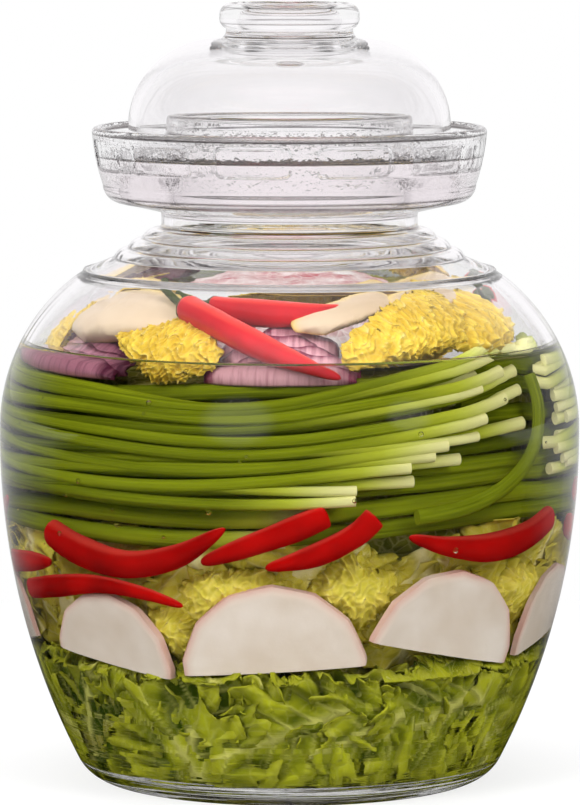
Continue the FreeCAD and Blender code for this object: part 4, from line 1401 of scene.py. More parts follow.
@dataclass
class RadishSlices:
    """Half-round radish slices that lean on the wall."""

    form: JarForm
    finish: RadishFinish
    thick: float = 5.0
    lean: float = 14.0
    rows: int = 18
    cols: int = 61
    facets: int = 13
    edge: float = 0.9
    places: tuple = ((-45.5, 50.1, 27.6, -8.0), (-3.5, 52.0, 33.0, 4.0), (38.0, 52.0, 32.0, -12.0),
                     (79.0, 54.0, 28.0, 10.0), (122.0, 51.0, 33.0, -6.0), (166.0, 52.0, 32.0, 8.0),
                     (209.0, 51.0, 33.0, -8.0), (266.0, 53.0, 29.0, 6.0))

    def build(self) -> list[Object]:
        """Make every slice."""
        flesh = self.finish.material()
        return [self._slice(f"radish_slice_{i + 1}", *spot, flesh) for i, spot in enumerate(self.places)]

    def _slice(self, name: str, turn: float, low: float, radius: float, roll: float,
               flesh: Material) -> Object:
        """One slice: two faces, a round skin and a flat cut, with softened edges."""
        angle = np.linspace(0, math.pi, self.cols)
        step = 2 * math.pi / self.facets
        flats = np.cos(step / 2) / np.cos((angle + 0.3 * turn) % step - step / 2)
        angle_r = radius * (1 - 0.8 * (1 - flats))
        share = np.linspace(0, 1, self.rows)
        rings, skins, rims = [], [], []
        for side in (0.0, self.thick):
            for s in (share if side == 0.0 else share[::-1]):
                soft = self.edge * max(0.0, (s - 0.96) / 0.04)
                depth = side + (soft if side == 0.0 else -soft)
                x = angle_r * s * np.cos(angle)
                z = np.maximum(angle_r * s * np.sin(angle), 0.0)
                rings.append(np.column_stack([x, np.full(self.cols, depth), z]))
                skins.append(np.full(self.cols, 1.0 if s > 0.985 else 0.0))
                rims.append(np.full(self.cols, radius * (1 - s)))
        verts = np.vstack(rings)
        count = 2 * self.rows
        faces = grid_faces(count, self.cols)
        for i in range(self.rows - 1):
            other = count - 1 - i
            for j in (0, self.cols - 1):
                faces.append((i * self.cols + j, (i + 1) * self.cols + j,
                              (other - 1) * self.cols + j, other * self.cols + j))
        verts = self._seat(verts, turn, low, radius, roll)
        piece = link_mesh(name + "_cut", verts, faces, flesh,
                          {"skin": np.concatenate(skins), "rim": np.concatenate(rims)})
        face_outwards(piece)
        sharpen_edges(piece)
        return settle(piece, Body.JAR, "radish", name)

    def _seat(self, verts: np.ndarray, turn: float, low: float, radius: float, roll: float) -> np.ndarray:
        """Roll, lean and push a slice out until its edge meets the wall."""
        lean, spin = math.radians(self.lean), math.radians(roll)
        rim = np.radians(roll + np.linspace(0, 180, 13))
        drop = radius * np.sin(rim).min()
        up = radius * np.sin(rim) - drop
        across = radius * np.cos(rim)
        reach = np.sqrt(self.form.room(low + up * math.cos(lean)) ** 2 - across ** 2) - up * math.sin(lean)
        x = verts[:, 0] * math.cos(spin) - verts[:, 2] * math.sin(spin)
        z = verts[:, 0] * math.sin(spin) + verts[:, 2] * math.cos(spin) - drop
        y = verts[:, 1] * math.cos(lean) - z * math.sin(lean) - reach.min()
        z = low + z * math.cos(lean) + verts[:, 1] * math.sin(lean)
        face = math.radians(turn)
        return np.column_stack([x * math.cos(face) - y * math.sin(face),
                                x * math.sin(face) + y * math.cos(face), z])


def sharpen_edges(piece: Object) -> None:
    """Shade a piece smooth only where its faces nearly agree."""
    mesh = piece.data
    sharp = math.radians(40)
    work = bmesh.new()
    work.from_mesh(mesh)
    for edge in work.edges:
        if len(edge.link_faces) == 2 and edge.calc_face_angle(0.0) > sharp:
            edge.smooth = False
    work.to_mesh(mesh)
    work.free()


def close_sheet(points: np.ndarray, rows: int, cols: int, thick: float) -> tuple[np.ndarray, list]:
    """Give a grid of points a thickness and close its rim.

    Args:
        points: Points of the grid, rows*cols by 3.
        rows: Rows of the grid.
        cols: Points in a row.
        thick: Thickness, away from the side that faces the glass.

    Returns:
        Points of both sides and the faces of the closed sheet.
    """
    grid = points.reshape(rows, cols, 3)
    normal = np.cross(np.gradient(grid, axis=1), np.gradient(grid, axis=0))
    normal /= np.maximum(np.linalg.norm(normal, axis=2, keepdims=True), 1e-9)
    count = rows * cols
    front = grid_faces(rows, cols)
    faces = front + [tuple(i + count for i in reversed(face)) for face in front]
    rim = list(range(cols)) + [i * cols + cols - 1 for i in range(1, rows)]
    rim += [(rows - 1) * cols + j for j in range(cols - 2, -1, -1)] + [i * cols for i in range(rows - 2, 0, -1)]
    faces += [(b, a, a + count, b + count) for a, b in zip(rim, rim[1:] + rim[:1])]
    return np.vstack([points, (grid - normal * thick).reshape(-1, 3)]), faces


@dataclass(frozen=True)
class LeafShape:
    """Sizes of one leaf sheet before it is laid on the wall, in millimetres."""

    length: float
    width: float
    ruffle: float
    rib: float
    rows: int = 50
    cols: int = 45
    waves: tuple[float, float, float] = (26.0, 10.5, 5.0)
    vein_pitch: float = 9.0

    def sheet(self, rng: np.random.Generator) -> tuple[np.ndarray, np.ndarray, np.ndarray]:
        """A ruffled sheet with its rib along +Y.

        Args:
            rng: Source of the leaf's own unevenness.

        Returns:
            Points rows*cols by 3, vein strength and margin strength.
        """
        v, u = np.meshgrid(np.linspace(0, 1, self.rows), np.linspace(-1, 1, self.cols), indexing="ij")
        spread = np.sin(math.pi * (0.12 + 0.8 * v)) ** 0.6
        x = u * spread * self.width / 2
        y = self.length * (v - 0.18 * u ** 2 * np.sqrt(v))
        edge = np.maximum(np.abs(u) ** 1.8, np.clip((v - 0.6) / 0.4, 0, 1) ** 1.6)
        angle = np.arctan2(x, y - 0.15 * self.length)
        run = angle * 0.34 * (self.length + self.width)
        flat = np.column_stack([x.ravel(), y.ravel(), np.zeros(x.size)])
        drift = ripple(flat, 14.0, rng.uniform(0, 50)).reshape(x.shape)
        phase = rng.uniform(0, 2 * math.pi, 4)
        turns = [2 * math.pi * run / wave + p + 2.2 * drift for wave, p in zip(self.waves, phase)]
        lift = self.ruffle * edge * (np.sin(turns[0]) + 0.6 * edge * np.sin(turns[1])
                                     + 0.3 * edge ** 2 * np.sin(turns[2]))
        pucker = np.abs(ripple(flat, 5.5, rng.uniform(0, 50))).reshape(x.shape)
        lift = lift + 1.6 * pucker * (1 - 0.5 * edge) + 3.0 * drift
        swing = 0.35 * self.ruffle * edge ** 2
        x = x + swing * np.cos(turns[1]) * np.sin(angle)
        y = y + swing * np.cos(turns[1]) * np.cos(angle)
        middle = np.exp(-(x / (0.7 + self.rib * (1 - v) ** 1.2)) ** 2)
        slant = (y - 0.8 * np.abs(x) + 1.5 * drift) % self.vein_pitch - self.vein_pitch / 2
        side = np.exp(-(slant / (0.9 - 0.5 * np.abs(u))) ** 2) * np.clip(1.1 - np.abs(u), 0, 1)
        vein = np.clip(middle + 0.8 * side * (v > 0.05), 0, 1)
        return np.column_stack([x.ravel(), y.ravel(), lift.ravel()]), vein.ravel(), edge.ravel()


@dataclass
class LeafLayer:
    """Leaves of one kind, laid over a band of the wall as one piece."""

    form: JarForm
    name: str
    slot: str
    shape: LeafShape
    turns: Point
    heights: Point
    depths: Point
    count: int
    spin: Point
    seed: int
    node: str
    scale: Point = (0.75, 1.2)
    thick: float = 0.5
    ceiling: float = 1000.0
    tuck: float = 0.0
    tones: Point = (0.0, 1.0)
    shade: float = 0.9

    def build(self, material: Material) -> Object:
        """Lay the leaves and join them as one piece.

        Args:
            material: Finish of the leaves.

        Returns:
            The piece.
        """
        rng = np.random.default_rng(self.seed)
        parts, values = [], {"vein": [], "margin": [], "tone": [], "sheet": []}
        spots = [self._spot(i, rng) for i in range(self.count)]
        for i, spot in enumerate(spots):
            sheet, vein, margin = self.shape.sheet(rng)
            laid, sunk = self._lay(sheet.copy(), i, *spot)
            parts.append(close_sheet(laid, self.shape.rows, self.shape.cols, self.thick))
            sheet[:, 2] = 37.0 * (i + self.seed)
            # Painted shade: a random tone plus more of the deep colour the further the leaf lies behind the glass.
            tone = 0.6 * rng.uniform(*self.tones) + self.shade * sunk
            for key, data in (("vein", vein), ("margin", margin), ("tone", tone), ("sheet", sheet)):
                values[key] += [data, data]
        piece = link_mesh(self.name, *join_parts(parts), material,
                          {key: np.concatenate(data) for key, data in values.items()})
        return settle(piece, Body.JAR, self.slot, self.node)

    def _spot(self, index: int, rng: np.random.Generator) -> tuple:
        """Turn, height, depth, spin and size of one leaf in the band."""
        golden = (index * 0.61803 + rng.uniform(0, 0.2)) % 1.0
        turn = self.turns[0] + (self.turns[1] - self.turns[0]) * (index + rng.uniform(0.1, 0.9)) / self.count
        height = self.heights[0] + (self.heights[1] - self.heights[0]) * golden
        return turn, height, rng.uniform(*self.depths), rng.uniform(*self.spin), rng.uniform(*self.scale)

    def _lay(self, sheet: np.ndarray, index: int, turn: float, height: float, depth: float, spin: float,
             size: float) -> tuple[np.ndarray, np.ndarray]:
        """Lay one sheet on the wall, pressed flat where it meets the glass.

        Args:
            sheet: Points of the sheet.
            index: Number of the leaf in its band.
            turn: Turn of its middle.
            height: Height of its middle.
            depth: Depth inside the wall.
            spin: Degrees that its rib is turned on the wall.
            size: Scale of the sheet.

        Returns:
            Points in the jar, and how deep each lies from 0 to 1.
        """
        local = sheet * size
        local[:, 1] -= self.shape.length * size / 2
        lean = math.radians(spin)
        x = local[:, 0] * math.cos(lean) - local[:, 1] * math.sin(lean)
        y = local[:, 0] * math.sin(lean) + local[:, 1] * math.cos(lean)
        inward = depth - local[:, 2]
        top = self.ceiling + self.tuck * np.clip(inward / 12.0, 0, 1)
        z = np.clip(height + y, self.form.floor_t + 1.5, top)
        away = turn + np.degrees(x / np.maximum(self.form.room(z) - depth, 30.0))
        least = 0.2 + 0.06 * (index % 11)
        pressed = least + np.logaddexp(0.0, 1.5 * (inward - least)) / 1.5
        return self.form.at(away, z, np.minimum(pressed, 40.0)), np.clip((inward - 1.0) / 9.0, 0, 1)


@dataclass
class LeafPatch:
    """A crinkled part of a leaf that lies along the glass inside a drawn outline of turns and heights."""

    form: JarForm
    name: str
    outline: tuple[Point, ...]
    depth: float = 0.8
    swell: float = 6.0
    crinkle: float = 3.2
    pitch: float = 5.2
    ragged: float = 0.03
    seed: float = 0.0
    shift: float = 0.0
    size: int = 110
    thick: float = 0.9

    def build(self, material: Material, node: str | None = None) -> Object:
        """Make the patch as a closed sheet.

        Args:
            material: Finish of the patch.
            node: Name of the solid that it replaces, if any.

        Returns:
            The piece.
        """
        v, u = np.meshgrid(np.linspace(-1, 1, self.size), np.linspace(-1, 1, self.size), indexing="ij")
        x, y = u * np.sqrt(1 - v ** 2 / 2), v * np.sqrt(1 - u ** 2 / 2)
        away, angle = np.clip(np.hypot(x, y), 0, 1), np.arctan2(y, x)
        middle = np.mean(self.outline, axis=0)
        per_degree = math.radians(1.0) * float(self.form.room(middle[1]))
        reach = away * self._reach(angle, middle, per_degree)
        across, up = reach * np.cos(angle), reach * np.sin(angle)
        folds = self._folds(across, up)
        depth = self.depth + self.swell * away ** 3 + self.crinkle * (1 - folds) * (0.4 + 0.6 * away)
        points = self.form.at(middle[0] + self.shift + across / per_degree, middle[1] + up, depth).reshape(-1, 3)
        verts, faces = close_sheet(points, self.size, self.size, self.thick)
        sheet = np.column_stack([across.ravel(), up.ravel(), np.zeros(across.size)])
        # Painted highlight and shade: the vein value lightens the crests of the folds and the tone value darkens the
        # folds.
        values = {"vein": np.clip(2.4 * folds - 1.7, 0, 1), "tone": np.clip(1.15 - 1.5 * folds, 0, 1),
                  "margin": np.clip(5 * away - 4, 0, 1) ** 2}
        values = {key: np.tile(data.ravel(), 2) for key, data in values.items()}
        piece = link_mesh(self.name, verts, faces, material, {**values, "sheet": np.vstack([sheet, sheet])})
        return settle(piece, Body.JAR, "napa", node) if node else settle(piece, Body.JAR, "napa")

    def _reach(self, angle: np.ndarray, middle: np.ndarray, per_degree: float) -> np.ndarray:
        """Distance from the middle to the ragged outline, towards each angle."""
        ring = np.vstack([self.outline, self.outline[:1]])
        steps = np.linspace(0, len(self.outline), 24 * len(self.outline), endpoint=False)
        side = (np.interp(steps, np.arange(len(ring)), ring[:, 0]) - middle[0]) * per_degree
        up = np.interp(steps, np.arange(len(ring)), ring[:, 1]) - middle[1]
        even = np.linspace(-math.pi, math.pi, 360, endpoint=False)
        reach = np.interp(even, np.arctan2(up, side), np.hypot(side, up), period=2 * math.pi)
        reach = sum(np.roll(reach, k) for k in range(-6, 7)) / 13
        rag = np.sin(15 * even + self.seed) + 0.8 * np.sin(26 * even + 2 * self.seed) + 0.6 * np.sin(41 * even)
        return np.interp(angle, even, reach * (1 + self.ragged * rag), period=2 * math.pi)

    def _folds(self, across: np.ndarray, up: np.ndarray) -> np.ndarray:
        """Winding crests of the crinkled leaf, from 0 in the folds to 1 on the crests."""
        turn = 2 * math.pi
        a = (across + 2.4 * np.sin(turn * up / 13 + self.seed)
             + 1.4 * np.sin(turn * (across + up) / 9 + 2 * self.seed))
        b = up + 2.2 * np.sin(turn * across / 11 + 3 * self.seed) + 1.2 * np.sin(turn * (across - up) / 8)
        broad = 1 - np.abs(np.sin(math.pi * (0.8 * a + 0.6 * b) / self.pitch))
        fine = 1 - np.abs(np.sin(math.pi * (0.55 * a - 0.83 * b) / (0.6 * self.pitch) + self.seed))
        return 0.62 * broad + 0.38 * fine


@dataclass
class OnionWedges:
    """Purple onion wedges: nested layers whose rims rise one behind the other."""

    form: JarForm
    rows: int = 14
    cols: int = 45
    layer_t: float = 1.6
    pitch: float = 2.6

    def build(self, pale: OnionFinish, dark: OnionFinish) -> list[Object]:
        """Make every wedge.

        Args:
            pale: Finish of the wedge in the middle.
            dark: Finish of the others.

        Returns:
            The wedges.
        """
        light, deep = pale.material(), dark.material()
        return [self._wedge("onion_wedge_1", -2.2, 157.0, 8.6, 54.0, 10.0, 5, light),
                self._wedge("onion_wedge_2", -66.0, 157.0, 3.6, 76.0, 9.0, 4, deep),
                self._wedge("onion_wedge_3", 233.0, 160.5, 0.8, 74.0, 8.0, 4, deep)]

    def _wedge(self, name: str, turn: float, low: float, depth: float, length: float, height: float,
               layers: int, material: Material) -> Object:
        """One wedge, with its nearest layer lowest.

        Args:
            name: Solid that it replaces.
            turn: Turn of its middle.
            low: Height of its foot.
            depth: Depth of its nearest layer.
            length: Length round the jar.
            height: Height of its nearest layer.
            layers: Number of layers.
            material: Finish of the layers.

        Returns:
            The wedge.
        """
        parts, margins, sheets = [], [], []
        for k in range(layers):
            v, u = np.meshgrid(np.linspace(0, 1, self.rows), np.linspace(-1, 1, self.cols), indexing="ij")
            arch = np.sqrt(np.clip(1 - (0.97 * u) ** 2, 0, 1))
            span = length * (1 - 0.07 * k) / 2
            tall = height + self.pitch * k
            wave = 0.5 * np.sin(5 * u + 2.0 * k) + 0.4 * np.sin(11 * u + k)
            z = low + 1.2 * k * (1 - arch) + v * tall * (0.25 + 0.75 * arch) + wave * v
            inward = depth + self.pitch * k + 4.5 * (1 - arch) + 2.6 * (v - 0.45) ** 2 * 4 + 0.5 * wave
            shift = 0.06 * length * math.sin(1.7 * k)
            around = turn + np.degrees((u * span + shift) / (self.form.room(z) - inward))
            points = self.form.at(around, z, np.maximum(inward, 0.4)).reshape(-1, 3)
            parts.append(close_sheet(points, self.rows, self.cols, self.layer_t))
            rim = np.clip((v - 0.78) / 0.22, 0, 1) ** 2 + np.clip((np.abs(u) - 0.75) / 0.25, 0, 1)
            margins += [np.clip(rim, 0, 1).ravel()] * 2
            sheets += [np.column_stack([(u * span).ravel(), (v * tall).ravel(), np.full(u.size, 9.0 * k)])] * 2
        piece = link_mesh(name + "_layers", *join_parts(parts), material,
                          {"margin": np.concatenate(margins), "sheet": np.concatenate(sheets)})
        return settle(piece, Body.JAR, "onion", name)


@dataclass
class PackedHeart:
    """The crumpled cabbage in the middle of the jar, which backs everything else."""

    form: JarForm
    voxel: float = 3.6
    crumple: float = 3.2
    nodes: tuple[str, ...] = ("cabbage_wedge_1", "cabbage_wedge_2", "cabbage_wedge_3")

    def build(self, material: Material, top: Material) -> list[Object]:
        """Crumple a copy of each solid.

        Args:
            material: Finish of the heart.
            top: Finish of the loose leaves on top.

        Returns:
            The pieces.
        """
        return [self._crumple(node, material) for node in self.nodes] + [self._crumple("leaf_mound", top)]

    def _crumple(self, node: str, material: Material) -> Object:
        """Copy a solid, close its surface and fold it inwards."""
        piece = link_object(node + "_leaves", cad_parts[node].data.copy())
        face_outwards(piece)
        remesh = piece.modifiers.new("close", "REMESH")
        remesh.mode = "VOXEL"
        remesh.voxel_size = self.voxel * MM
        depsgraph = bpy.context.evaluated_depsgraph_get()
        closed = bpy.data.meshes.new_from_object(piece.evaluated_get(depsgraph), depsgraph=depsgraph)
        piece.modifiers.remove(remesh)
        piece.data = closed
        points, normals = read_vectors(closed, "co") / MM, read_vectors(closed, "normal")
        stretched = points * (1, 1, 0.35)
        folds = ripple(stretched, 9.0, 3.0) + 0.6 * ripple(points, 4.5, 7.0)
        points = points - normals * (self.crumple * (0.55 + 0.45 * folds))[:, None]
        closed.vertices.foreach_set("co", (points * MM).ravel())
        for key, data in (("vein", np.clip(folds - 0.35, 0, 1)), ("margin", np.clip(-folds, 0, 1)),
                          ("tone", 0.5 - 0.5 * folds), ("sheet", points)):
            write_values(closed, key, data)
        closed.materials.clear()
        closed.materials.append(material)
        closed.polygons.foreach_set("use_smooth", [True] * len(closed.polygons))
        closed.update()
        return settle(piece, Body.JAR, "cabbage_pale", node)


@dataclass
class Bubbles:
    """Small gas bubbles on the inside of the glass, scattered by a node tree."""

    form: JarForm
    finish: ClearFinish
    low: float = 95.0
    high: float = 163.0
    count_per_m2: float = 900.0
    size: Point = (0.35, 1.1)
    seed: int = 5

    def build(self) -> Object:
        """Scatter the bubbles and join them as one piece."""
        z = np.linspace(self.low, self.high, 24)
        turn = np.linspace(-180, 180, 96, endpoint=False)
        zz, tt = np.meshgrid(z, turn, indexing="ij")
        verts = self.form.at(tt, zz, -0.9).reshape(-1, 3)
        material = self.finish.material()
        wall = link_mesh("bubble_wall", verts, grid_faces(len(z), len(turn), wrap=True), material)
        mesh = run_tree(wall, self._scatter_tree(), "brine_bubbles",
                        {"Density": self.count_per_m2, "Smallest": self.size[0] * MM,
                         "Largest": self.size[1] * MM, "Seed": self.seed, "Material": material})
        return settle(link_object("brine_bubbles", mesh), Body.JAR, "brine")

    def _scatter_tree(self) -> NodeTree:
        """The node tree that sets a round bubble on random points of a wall."""
        tree, start = start_tree("scatter_bubbles", Density="Float", Smallest="Float", Largest="Float", Seed="Int")
        points = place(tree, "GeometryNodeDistributePointsOnFaces",
                       {"Mesh": start.outputs["Geometry"], "Density": start.outputs["Density"],
                        "Seed": start.outputs["Seed"]})
        ball = place(tree, "GeometryNodeMeshIcoSphere", {"Radius": 1.0, "Subdivisions": 3})
        size = place(tree, "FunctionNodeRandomValue",
                     {2: start.outputs["Smallest"], 3: start.outputs["Largest"], "Seed": start.outputs["Seed"]},
                     data_type="FLOAT")
        spread = place(tree, "GeometryNodeInstanceOnPoints",
                       {"Points": points.outputs["Points"], "Instance": ball.outputs["Mesh"],
                        "Scale": size.outputs[1]})
        return end_tree(tree, start, spread.outputs[0])


# Studio


@dataclass
class Studio:
    """White floor and background, soft lamps and the camera of the photograph."""

    distance: float = 2.15
    height: float = 0.365
    pitch: float = 5.885
    lens: float = 254.4
    aside: float = 0.0002
    floor_half: float = 30.0
    cards: tuple = (((-0.344, -0.903, 0.256), 0.958, 0.993), ((0.724, -0.632, 0.275), 0.982, 0.998))
    lamps: tuple = (("key_light", (-1.3, -1.7, 1.5), (0.9, 1.2), 54.0),
                    ("fill_light", (1.5, -1.5, 1.1), (0.8, 1.2), 40.0),
                    ("top_light", (0.0, -0.1, 1.9), (1.2, 1.0), 26.0))
    lamp_aim: tuple = (0.0, 0.0, 0.14)
    bounces: int = 64
    mirror_bounces: int = 16
    floor_shade: float = 0.9
    room_tint: tuple = (1.0, 0.985, 1.0, 1.0)
    room_level: float = 0.45

    def build(self) -> None:
        """Set up everything that isn't the object."""
        scene = bpy.context.scene
        scene.view_settings.view_transform = "Standard"
        scene.cycles.max_bounces = self.bounces
        scene.cycles.transmission_bounces = self.bounces
        scene.cycles.glossy_bounces = self.mirror_bounces
        scene.cycles.transparent_max_bounces = self.bounces
        self._camera(scene)
        self._floor()
        self._world(scene)
        for lamp in self.lamps:
            self._lamp(*lamp)

    def _camera(self, scene: Scene) -> None:
        """Place the camera of the photograph."""
        data = bpy.data.cameras.new("camera")
        data.lens = self.lens
        data.sensor_width = 36.0
        data.clip_end = 100.0
        camera = link_object("camera", data)
        camera.location = (self.aside, -self.distance, self.height)
        camera.rotation_euler = (math.radians(90.0 - self.pitch), 0.0, 0.0)
        scene.camera = camera

    def _floor(self) -> None:
        """A pale floor that keeps a soft shadow near the jar and is white further off."""
        half = self.floor_half / MM
        corners = np.array([(-half, -half, 0.0), (half, -half, 0.0), (half, half, 0.0), (-half, half, 0.0)])
        material, tree, shader = new_material("studio_floor")
        shader.inputs["Base Color"].default_value = (self.floor_shade, self.floor_shade, self.floor_shade, 1.0)
        shader.inputs["Roughness"].default_value = 0.9
        away = place(tree, "ShaderNodeVectorMath", {0: object_point(tree)}, operation="LENGTH").outputs["Value"]
        far = ramp(tree, away, (0.1, 0.5), (0.75, 1.0))
        path = place(tree, "ShaderNodeLightPath")
        seen = math_node(tree, "MAXIMUM", path.outputs["Is Camera Ray"], path.outputs["Is Transmission Ray"])
        share = math_node(tree, "MULTIPLY", seen, far)
        white = place(tree, "ShaderNodeEmission", {"Color": WHITE, "Strength": 1.0})
        plain = place(tree, "ShaderNodeMixShader", {0: share, 1: shader.outputs[0], 2: white.outputs[0]})
        ahead = along_axis(tree, object_point(tree), "Y")
        level = ramp(tree, ahead, (0.1, 0.7), (0.0, 0.7))
        dim = place(tree, "ShaderNodeEmission", {"Color": WHITE, "Strength": level})
        mirror = math_node(tree, "SUBTRACT", path.outputs["Is Glossy Ray"], path.outputs["Is Transmission Ray"])
        mixed = place(tree, "ShaderNodeMixShader", {0: mirror, 1: plain.outputs[0], 2: dim.outputs[0]})
        tree.links.new(mixed.outputs[0], tree.nodes["Material Output"].inputs["Surface"])
        floor = link_mesh("studio_floor", corners, [(0, 1, 2, 3)], material, smooth=False)

    def _world(self, scene: Scene) -> None:
        """White behind the jar, greyer to the sides, and a plain level of light."""
        world = bpy.data.worlds.new("studio")
        scene.world = world
        world.use_nodes = True
        tree = world.node_tree
        direction = place(tree, "ShaderNodeTexCoord").outputs["Generated"]
        parts = place(tree, "ShaderNodeSeparateXYZ", {0: direction})
        behind = ramp(tree, parts.outputs["Y"], (0.25, 1.0), soft=True)
        above = ramp(tree, parts.outputs["Z"], (0.5, 0.95), (0.0, 0.7), soft=True)
        mirrored = math_node(tree, "MAXIMUM", behind, above)
        for aim, edge, core in self.cards:
            near = place(tree, "ShaderNodeVectorMath", {0: direction, 1: aim}, operation="DOT_PRODUCT")
            spot = ramp(tree, near.outputs["Value"], (edge, core), soft=True)
            mirrored = math_node(tree, "MAXIMUM", mirrored, spot)
        ahead = math_node(tree, "ABSOLUTE", parts.outputs["Y"])
        through = ramp(tree, ahead, (0.1, 0.6), (0.1, 1.0), soft=True)
        path = place(tree, "ShaderNodeLightPath")
        level = place(tree, "ShaderNodeMix", {"Factor": path.outputs["Is Transmission Ray"], "A": mirrored,
                                              "B": through}, data_type="FLOAT")
        room = place(tree, "ShaderNodeBackground", {"Color": self.room_tint, "Strength": level.outputs[0]})
        plain = place(tree, "ShaderNodeBackground", {"Color": WHITE, "Strength": self.room_level})
        white = place(tree, "ShaderNodeBackground", {"Color": WHITE, "Strength": 1.0})
        shown = math_node(tree, "MAXIMUM", path.outputs["Is Glossy Ray"], path.outputs["Is Transmission Ray"])
        lit = place(tree, "ShaderNodeMixShader", {0: shown, 1: plain.outputs[0], 2: room.outputs[0]})
        mixed = place(tree, "ShaderNodeMixShader", {0: path.outputs["Is Camera Ray"], 1: lit.outputs[0],
                                                    2: white.outputs[0]})
        tree.links.new(mixed.outputs[0], tree.nodes["World Output"].inputs["Surface"])

    def _lamp(self, name: str, place_at: tuple, size: Point, power: float) -> None:
        """One soft lamp that faces the jar.

        Args:
            name: Name of the lamp.
            place_at: Its place in metres.
            size: Its width and height in metres.
            power: Its power in watts.
        """
        data = bpy.data.lights.new(name, "AREA")
        data.shape = "RECTANGLE"
        data.size, data.size_y = size
        data.energy = power
        lamp = link_object(name, data)
        lamp.location = place_at
        lamp.visible_glossy = False
        lamp.visible_transmission = False
        aim = Vector(self.lamp_aim) - Vector(place_at)
        lamp.rotation_euler = aim.to_track_quat("-Z", "Y").to_euler()


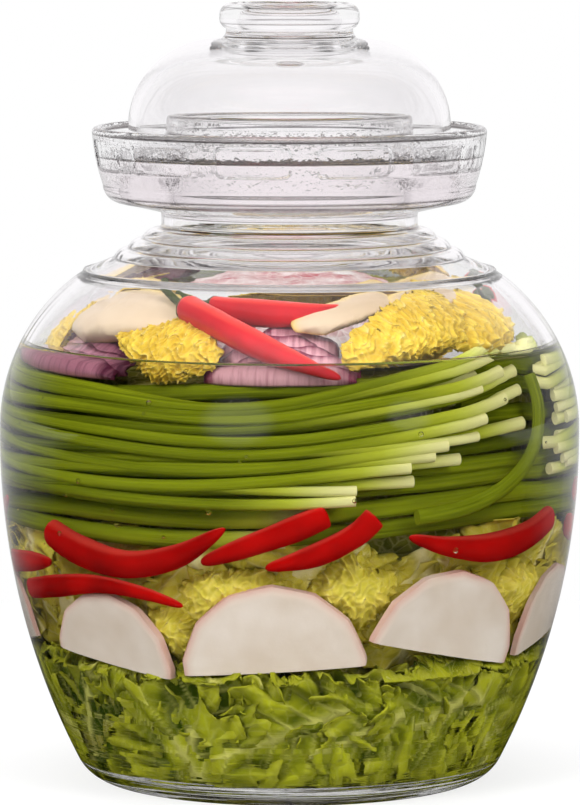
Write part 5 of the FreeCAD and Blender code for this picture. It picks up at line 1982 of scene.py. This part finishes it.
def main() -> None:
    """Build the whole scene."""
    logging.basicConfig(level=logging.INFO, format="%(name)s %(message)s")
    form = JarForm()
    rim_z, water_z = form.moat_floor_z + form.moat_depth, form.moat_floor_z + form.water_depth
    mouth_z = form.moat_floor_z + form.mouth_h
    # Painted shade: dark lines at the listed heights on the glass, the lid and the water.
    glass = ClearFinish("clear_glass", (0.990, 0.986, 0.989), 1.5, 1.123, 0.0015, 0.00014,
                        seams=((rim_z - 2.2, 0.7, 0.95), (form.moat_floor_z + 0.4, 0.8, 0.95),
                               (form.neck_root_z + 0.8, 0.6, 0.95), (mouth_z - 0.8, 0.5, 0.8)))
    lid_glass = ClearFinish("lid_clear_glass", (0.993, 0.989, 0.992), 1.5, ring_height=0.0002,
                            seams=tuple((z, 0.4, 0.8) for z in (287.5, 282.5, 293.5)))
    brine = ClearFinish("clear_brine", (0.74, 0.735, 0.72), 1.336)
    water = ClearFinish("still_water", (0.995, 0.985, 0.987), 1.333, seams=((water_z + 0.6, 0.8, 0.95),))
    curly = LeafFinish("curly_cabbage", Medium.BRINE, (0.52, 0.56, 0.022), (0.030, 0.060, 0.0015),
                       (0.42, 0.44, 0.025), (0.62, 0.62, 0.15), cell=6.0, net=0.2).material()
    heart = LeafFinish("cabbage_heart", Medium.BRINE, (0.36, 0.34, 0.045), (0.16, 0.17, 0.015),
                       (0.08, 0.09, 0.006), (0.60, 0.56, 0.22)).material()
    light = LeafFinish("pale_leaf", Medium.BRINE, (0.95, 0.82, 0.13), (0.72, 0.63, 0.07),
                       (0.60, 0.52, 0.05), (0.95, 0.88, 0.42), net=0.15).material()
    napa = LeafFinish("napa_leaf", Medium.AIR, (0.84, 0.61, 0.06), (0.58, 0.37, 0.02),
                      (0.66, 0.47, 0.05), (0.86, 0.75, 0.34), cell=3.0, net=0.12).material()
    ribbed = LeafFinish("top_leaf", Medium.AIR, (0.92, 0.88, 0.84), (0.40, 0.03, 0.05),
                        (0.30, 0.02, 0.035), (0.92, 0.90, 0.87)).material()
    rib = RibFinish().material()
    stalk = LeafFinish("chili_calyx", Medium.AIR, (0.04, 0.055, 0.008), (0.02, 0.03, 0.004),
                       (0.02, 0.03, 0.004), (0.05, 0.07, 0.01)).material()
    Stems(form, StemFinish()).build()
    Chilies(form, ChiliFinish("chili_skin", Medium.BRINE, (0.25, 0.001, 0.001), (0.58, 0.004, 0.003)),
            ChiliFinish("chili_skin_top", Medium.AIR, (0.36, 0.004, 0.010), (0.66, 0.010, 0.020))).build(stalk)
    RadishSlices(form, RadishFinish()).build()
    OnionWedges(form).build(OnionFinish("onion_lilac", (0.66, 0.36, 0.40), (0.20, 0.024, 0.065)),
                            OnionFinish("onion_purple", (0.40, 0.16, 0.22), (0.075, 0.010, 0.030)))
    PackedHeart(form).build(heart, ribbed)
    curly_shape = LeafShape(60.0, 56.0, 8.0, 2.4)
    for i in range(6):
        LeafLayer(form, f"curly_leaves_{i + 1}", "cabbage_green", curly_shape, (60.0 * i - 32, 60.0 * i + 32),
                  (18.0, 40.0), (4.0, 14.0), 10, (-120.0, 120.0), 30 + i, f"cabbage_leaf_{i + 1}",
                  ceiling=49.5, tuck=9.0).build(curly)
    light_shape = LeafShape(46.0, 44.0, 5.0, 4.0, 40, 36)
    for i in range(6):
        LeafLayer(form, f"pale_leaves_{i + 1}", "napa", light_shape, (60.0 * i, 60.0 * i + 60), (68.0, 90.0),
                  (17.0, 20.0), 7, (-180.0, 180.0), 50 + i, f"napa_leaf_{i + 1}", ceiling=106.0).build(light)
    for i, outline in enumerate(GAP_LEAVES):
        LeafPatch(form, f"gap_leaf_{i + 1}", outline, 7.0, 8.0, 3.0, 7.5, 0.03, 1.3 * i, size=80).build(light)
    for i, (left, right) in enumerate(((0.0, None), (None, 0.0), (None, 116.0), (292.0, None))):
        if left is not None:
            LeafPatch(form, f"napa_rib_{i + 1}", LEFT_RIB, 2.6, 9.0, 1.0, 16.0, 0.0, 1.0, left, 50).build(rib)
            LeafPatch(form, f"napa_frill_{i + 1}", LEFT_FRILL, seed=0.6,
                      shift=left).build(napa, f"napa_heart_{i + 1}")
        else:
            LeafPatch(form, f"napa_rib_{i + 1}", RIGHT_RIB, 8.0, 7.0, 1.2, 14.0, 0.01, 2.0, right, 50).build(rib)
            LeafPatch(form, f"napa_root_{i + 1}", MIDDLE_RIB, 9.0, 6.0, 1.0, 15.0, 0.01, 3.0, right, 50).build(rib)
            LeafPatch(form, f"napa_far_{i + 1}", FAR_FRILL, 1.6, 7.0, 3.4, 8.0, 0.03, 4.0, right).build(napa)
            LeafPatch(form, f"napa_frill_{i + 1}", RIGHT_FRILL, seed=5.0,
                      shift=right).build(napa, f"napa_heart_{i + 1}")
    Liquids(form, brine, water).build()
    Bubbles(form, ClearFinish("gas_bubble", (1.0, 1.0, 1.0), 0.75)).build()
    JarGlass(form, glass).build()
    LidGlass(form, lid_glass).build()
    Studio().build()


if __name__ == "__main__":
    main()
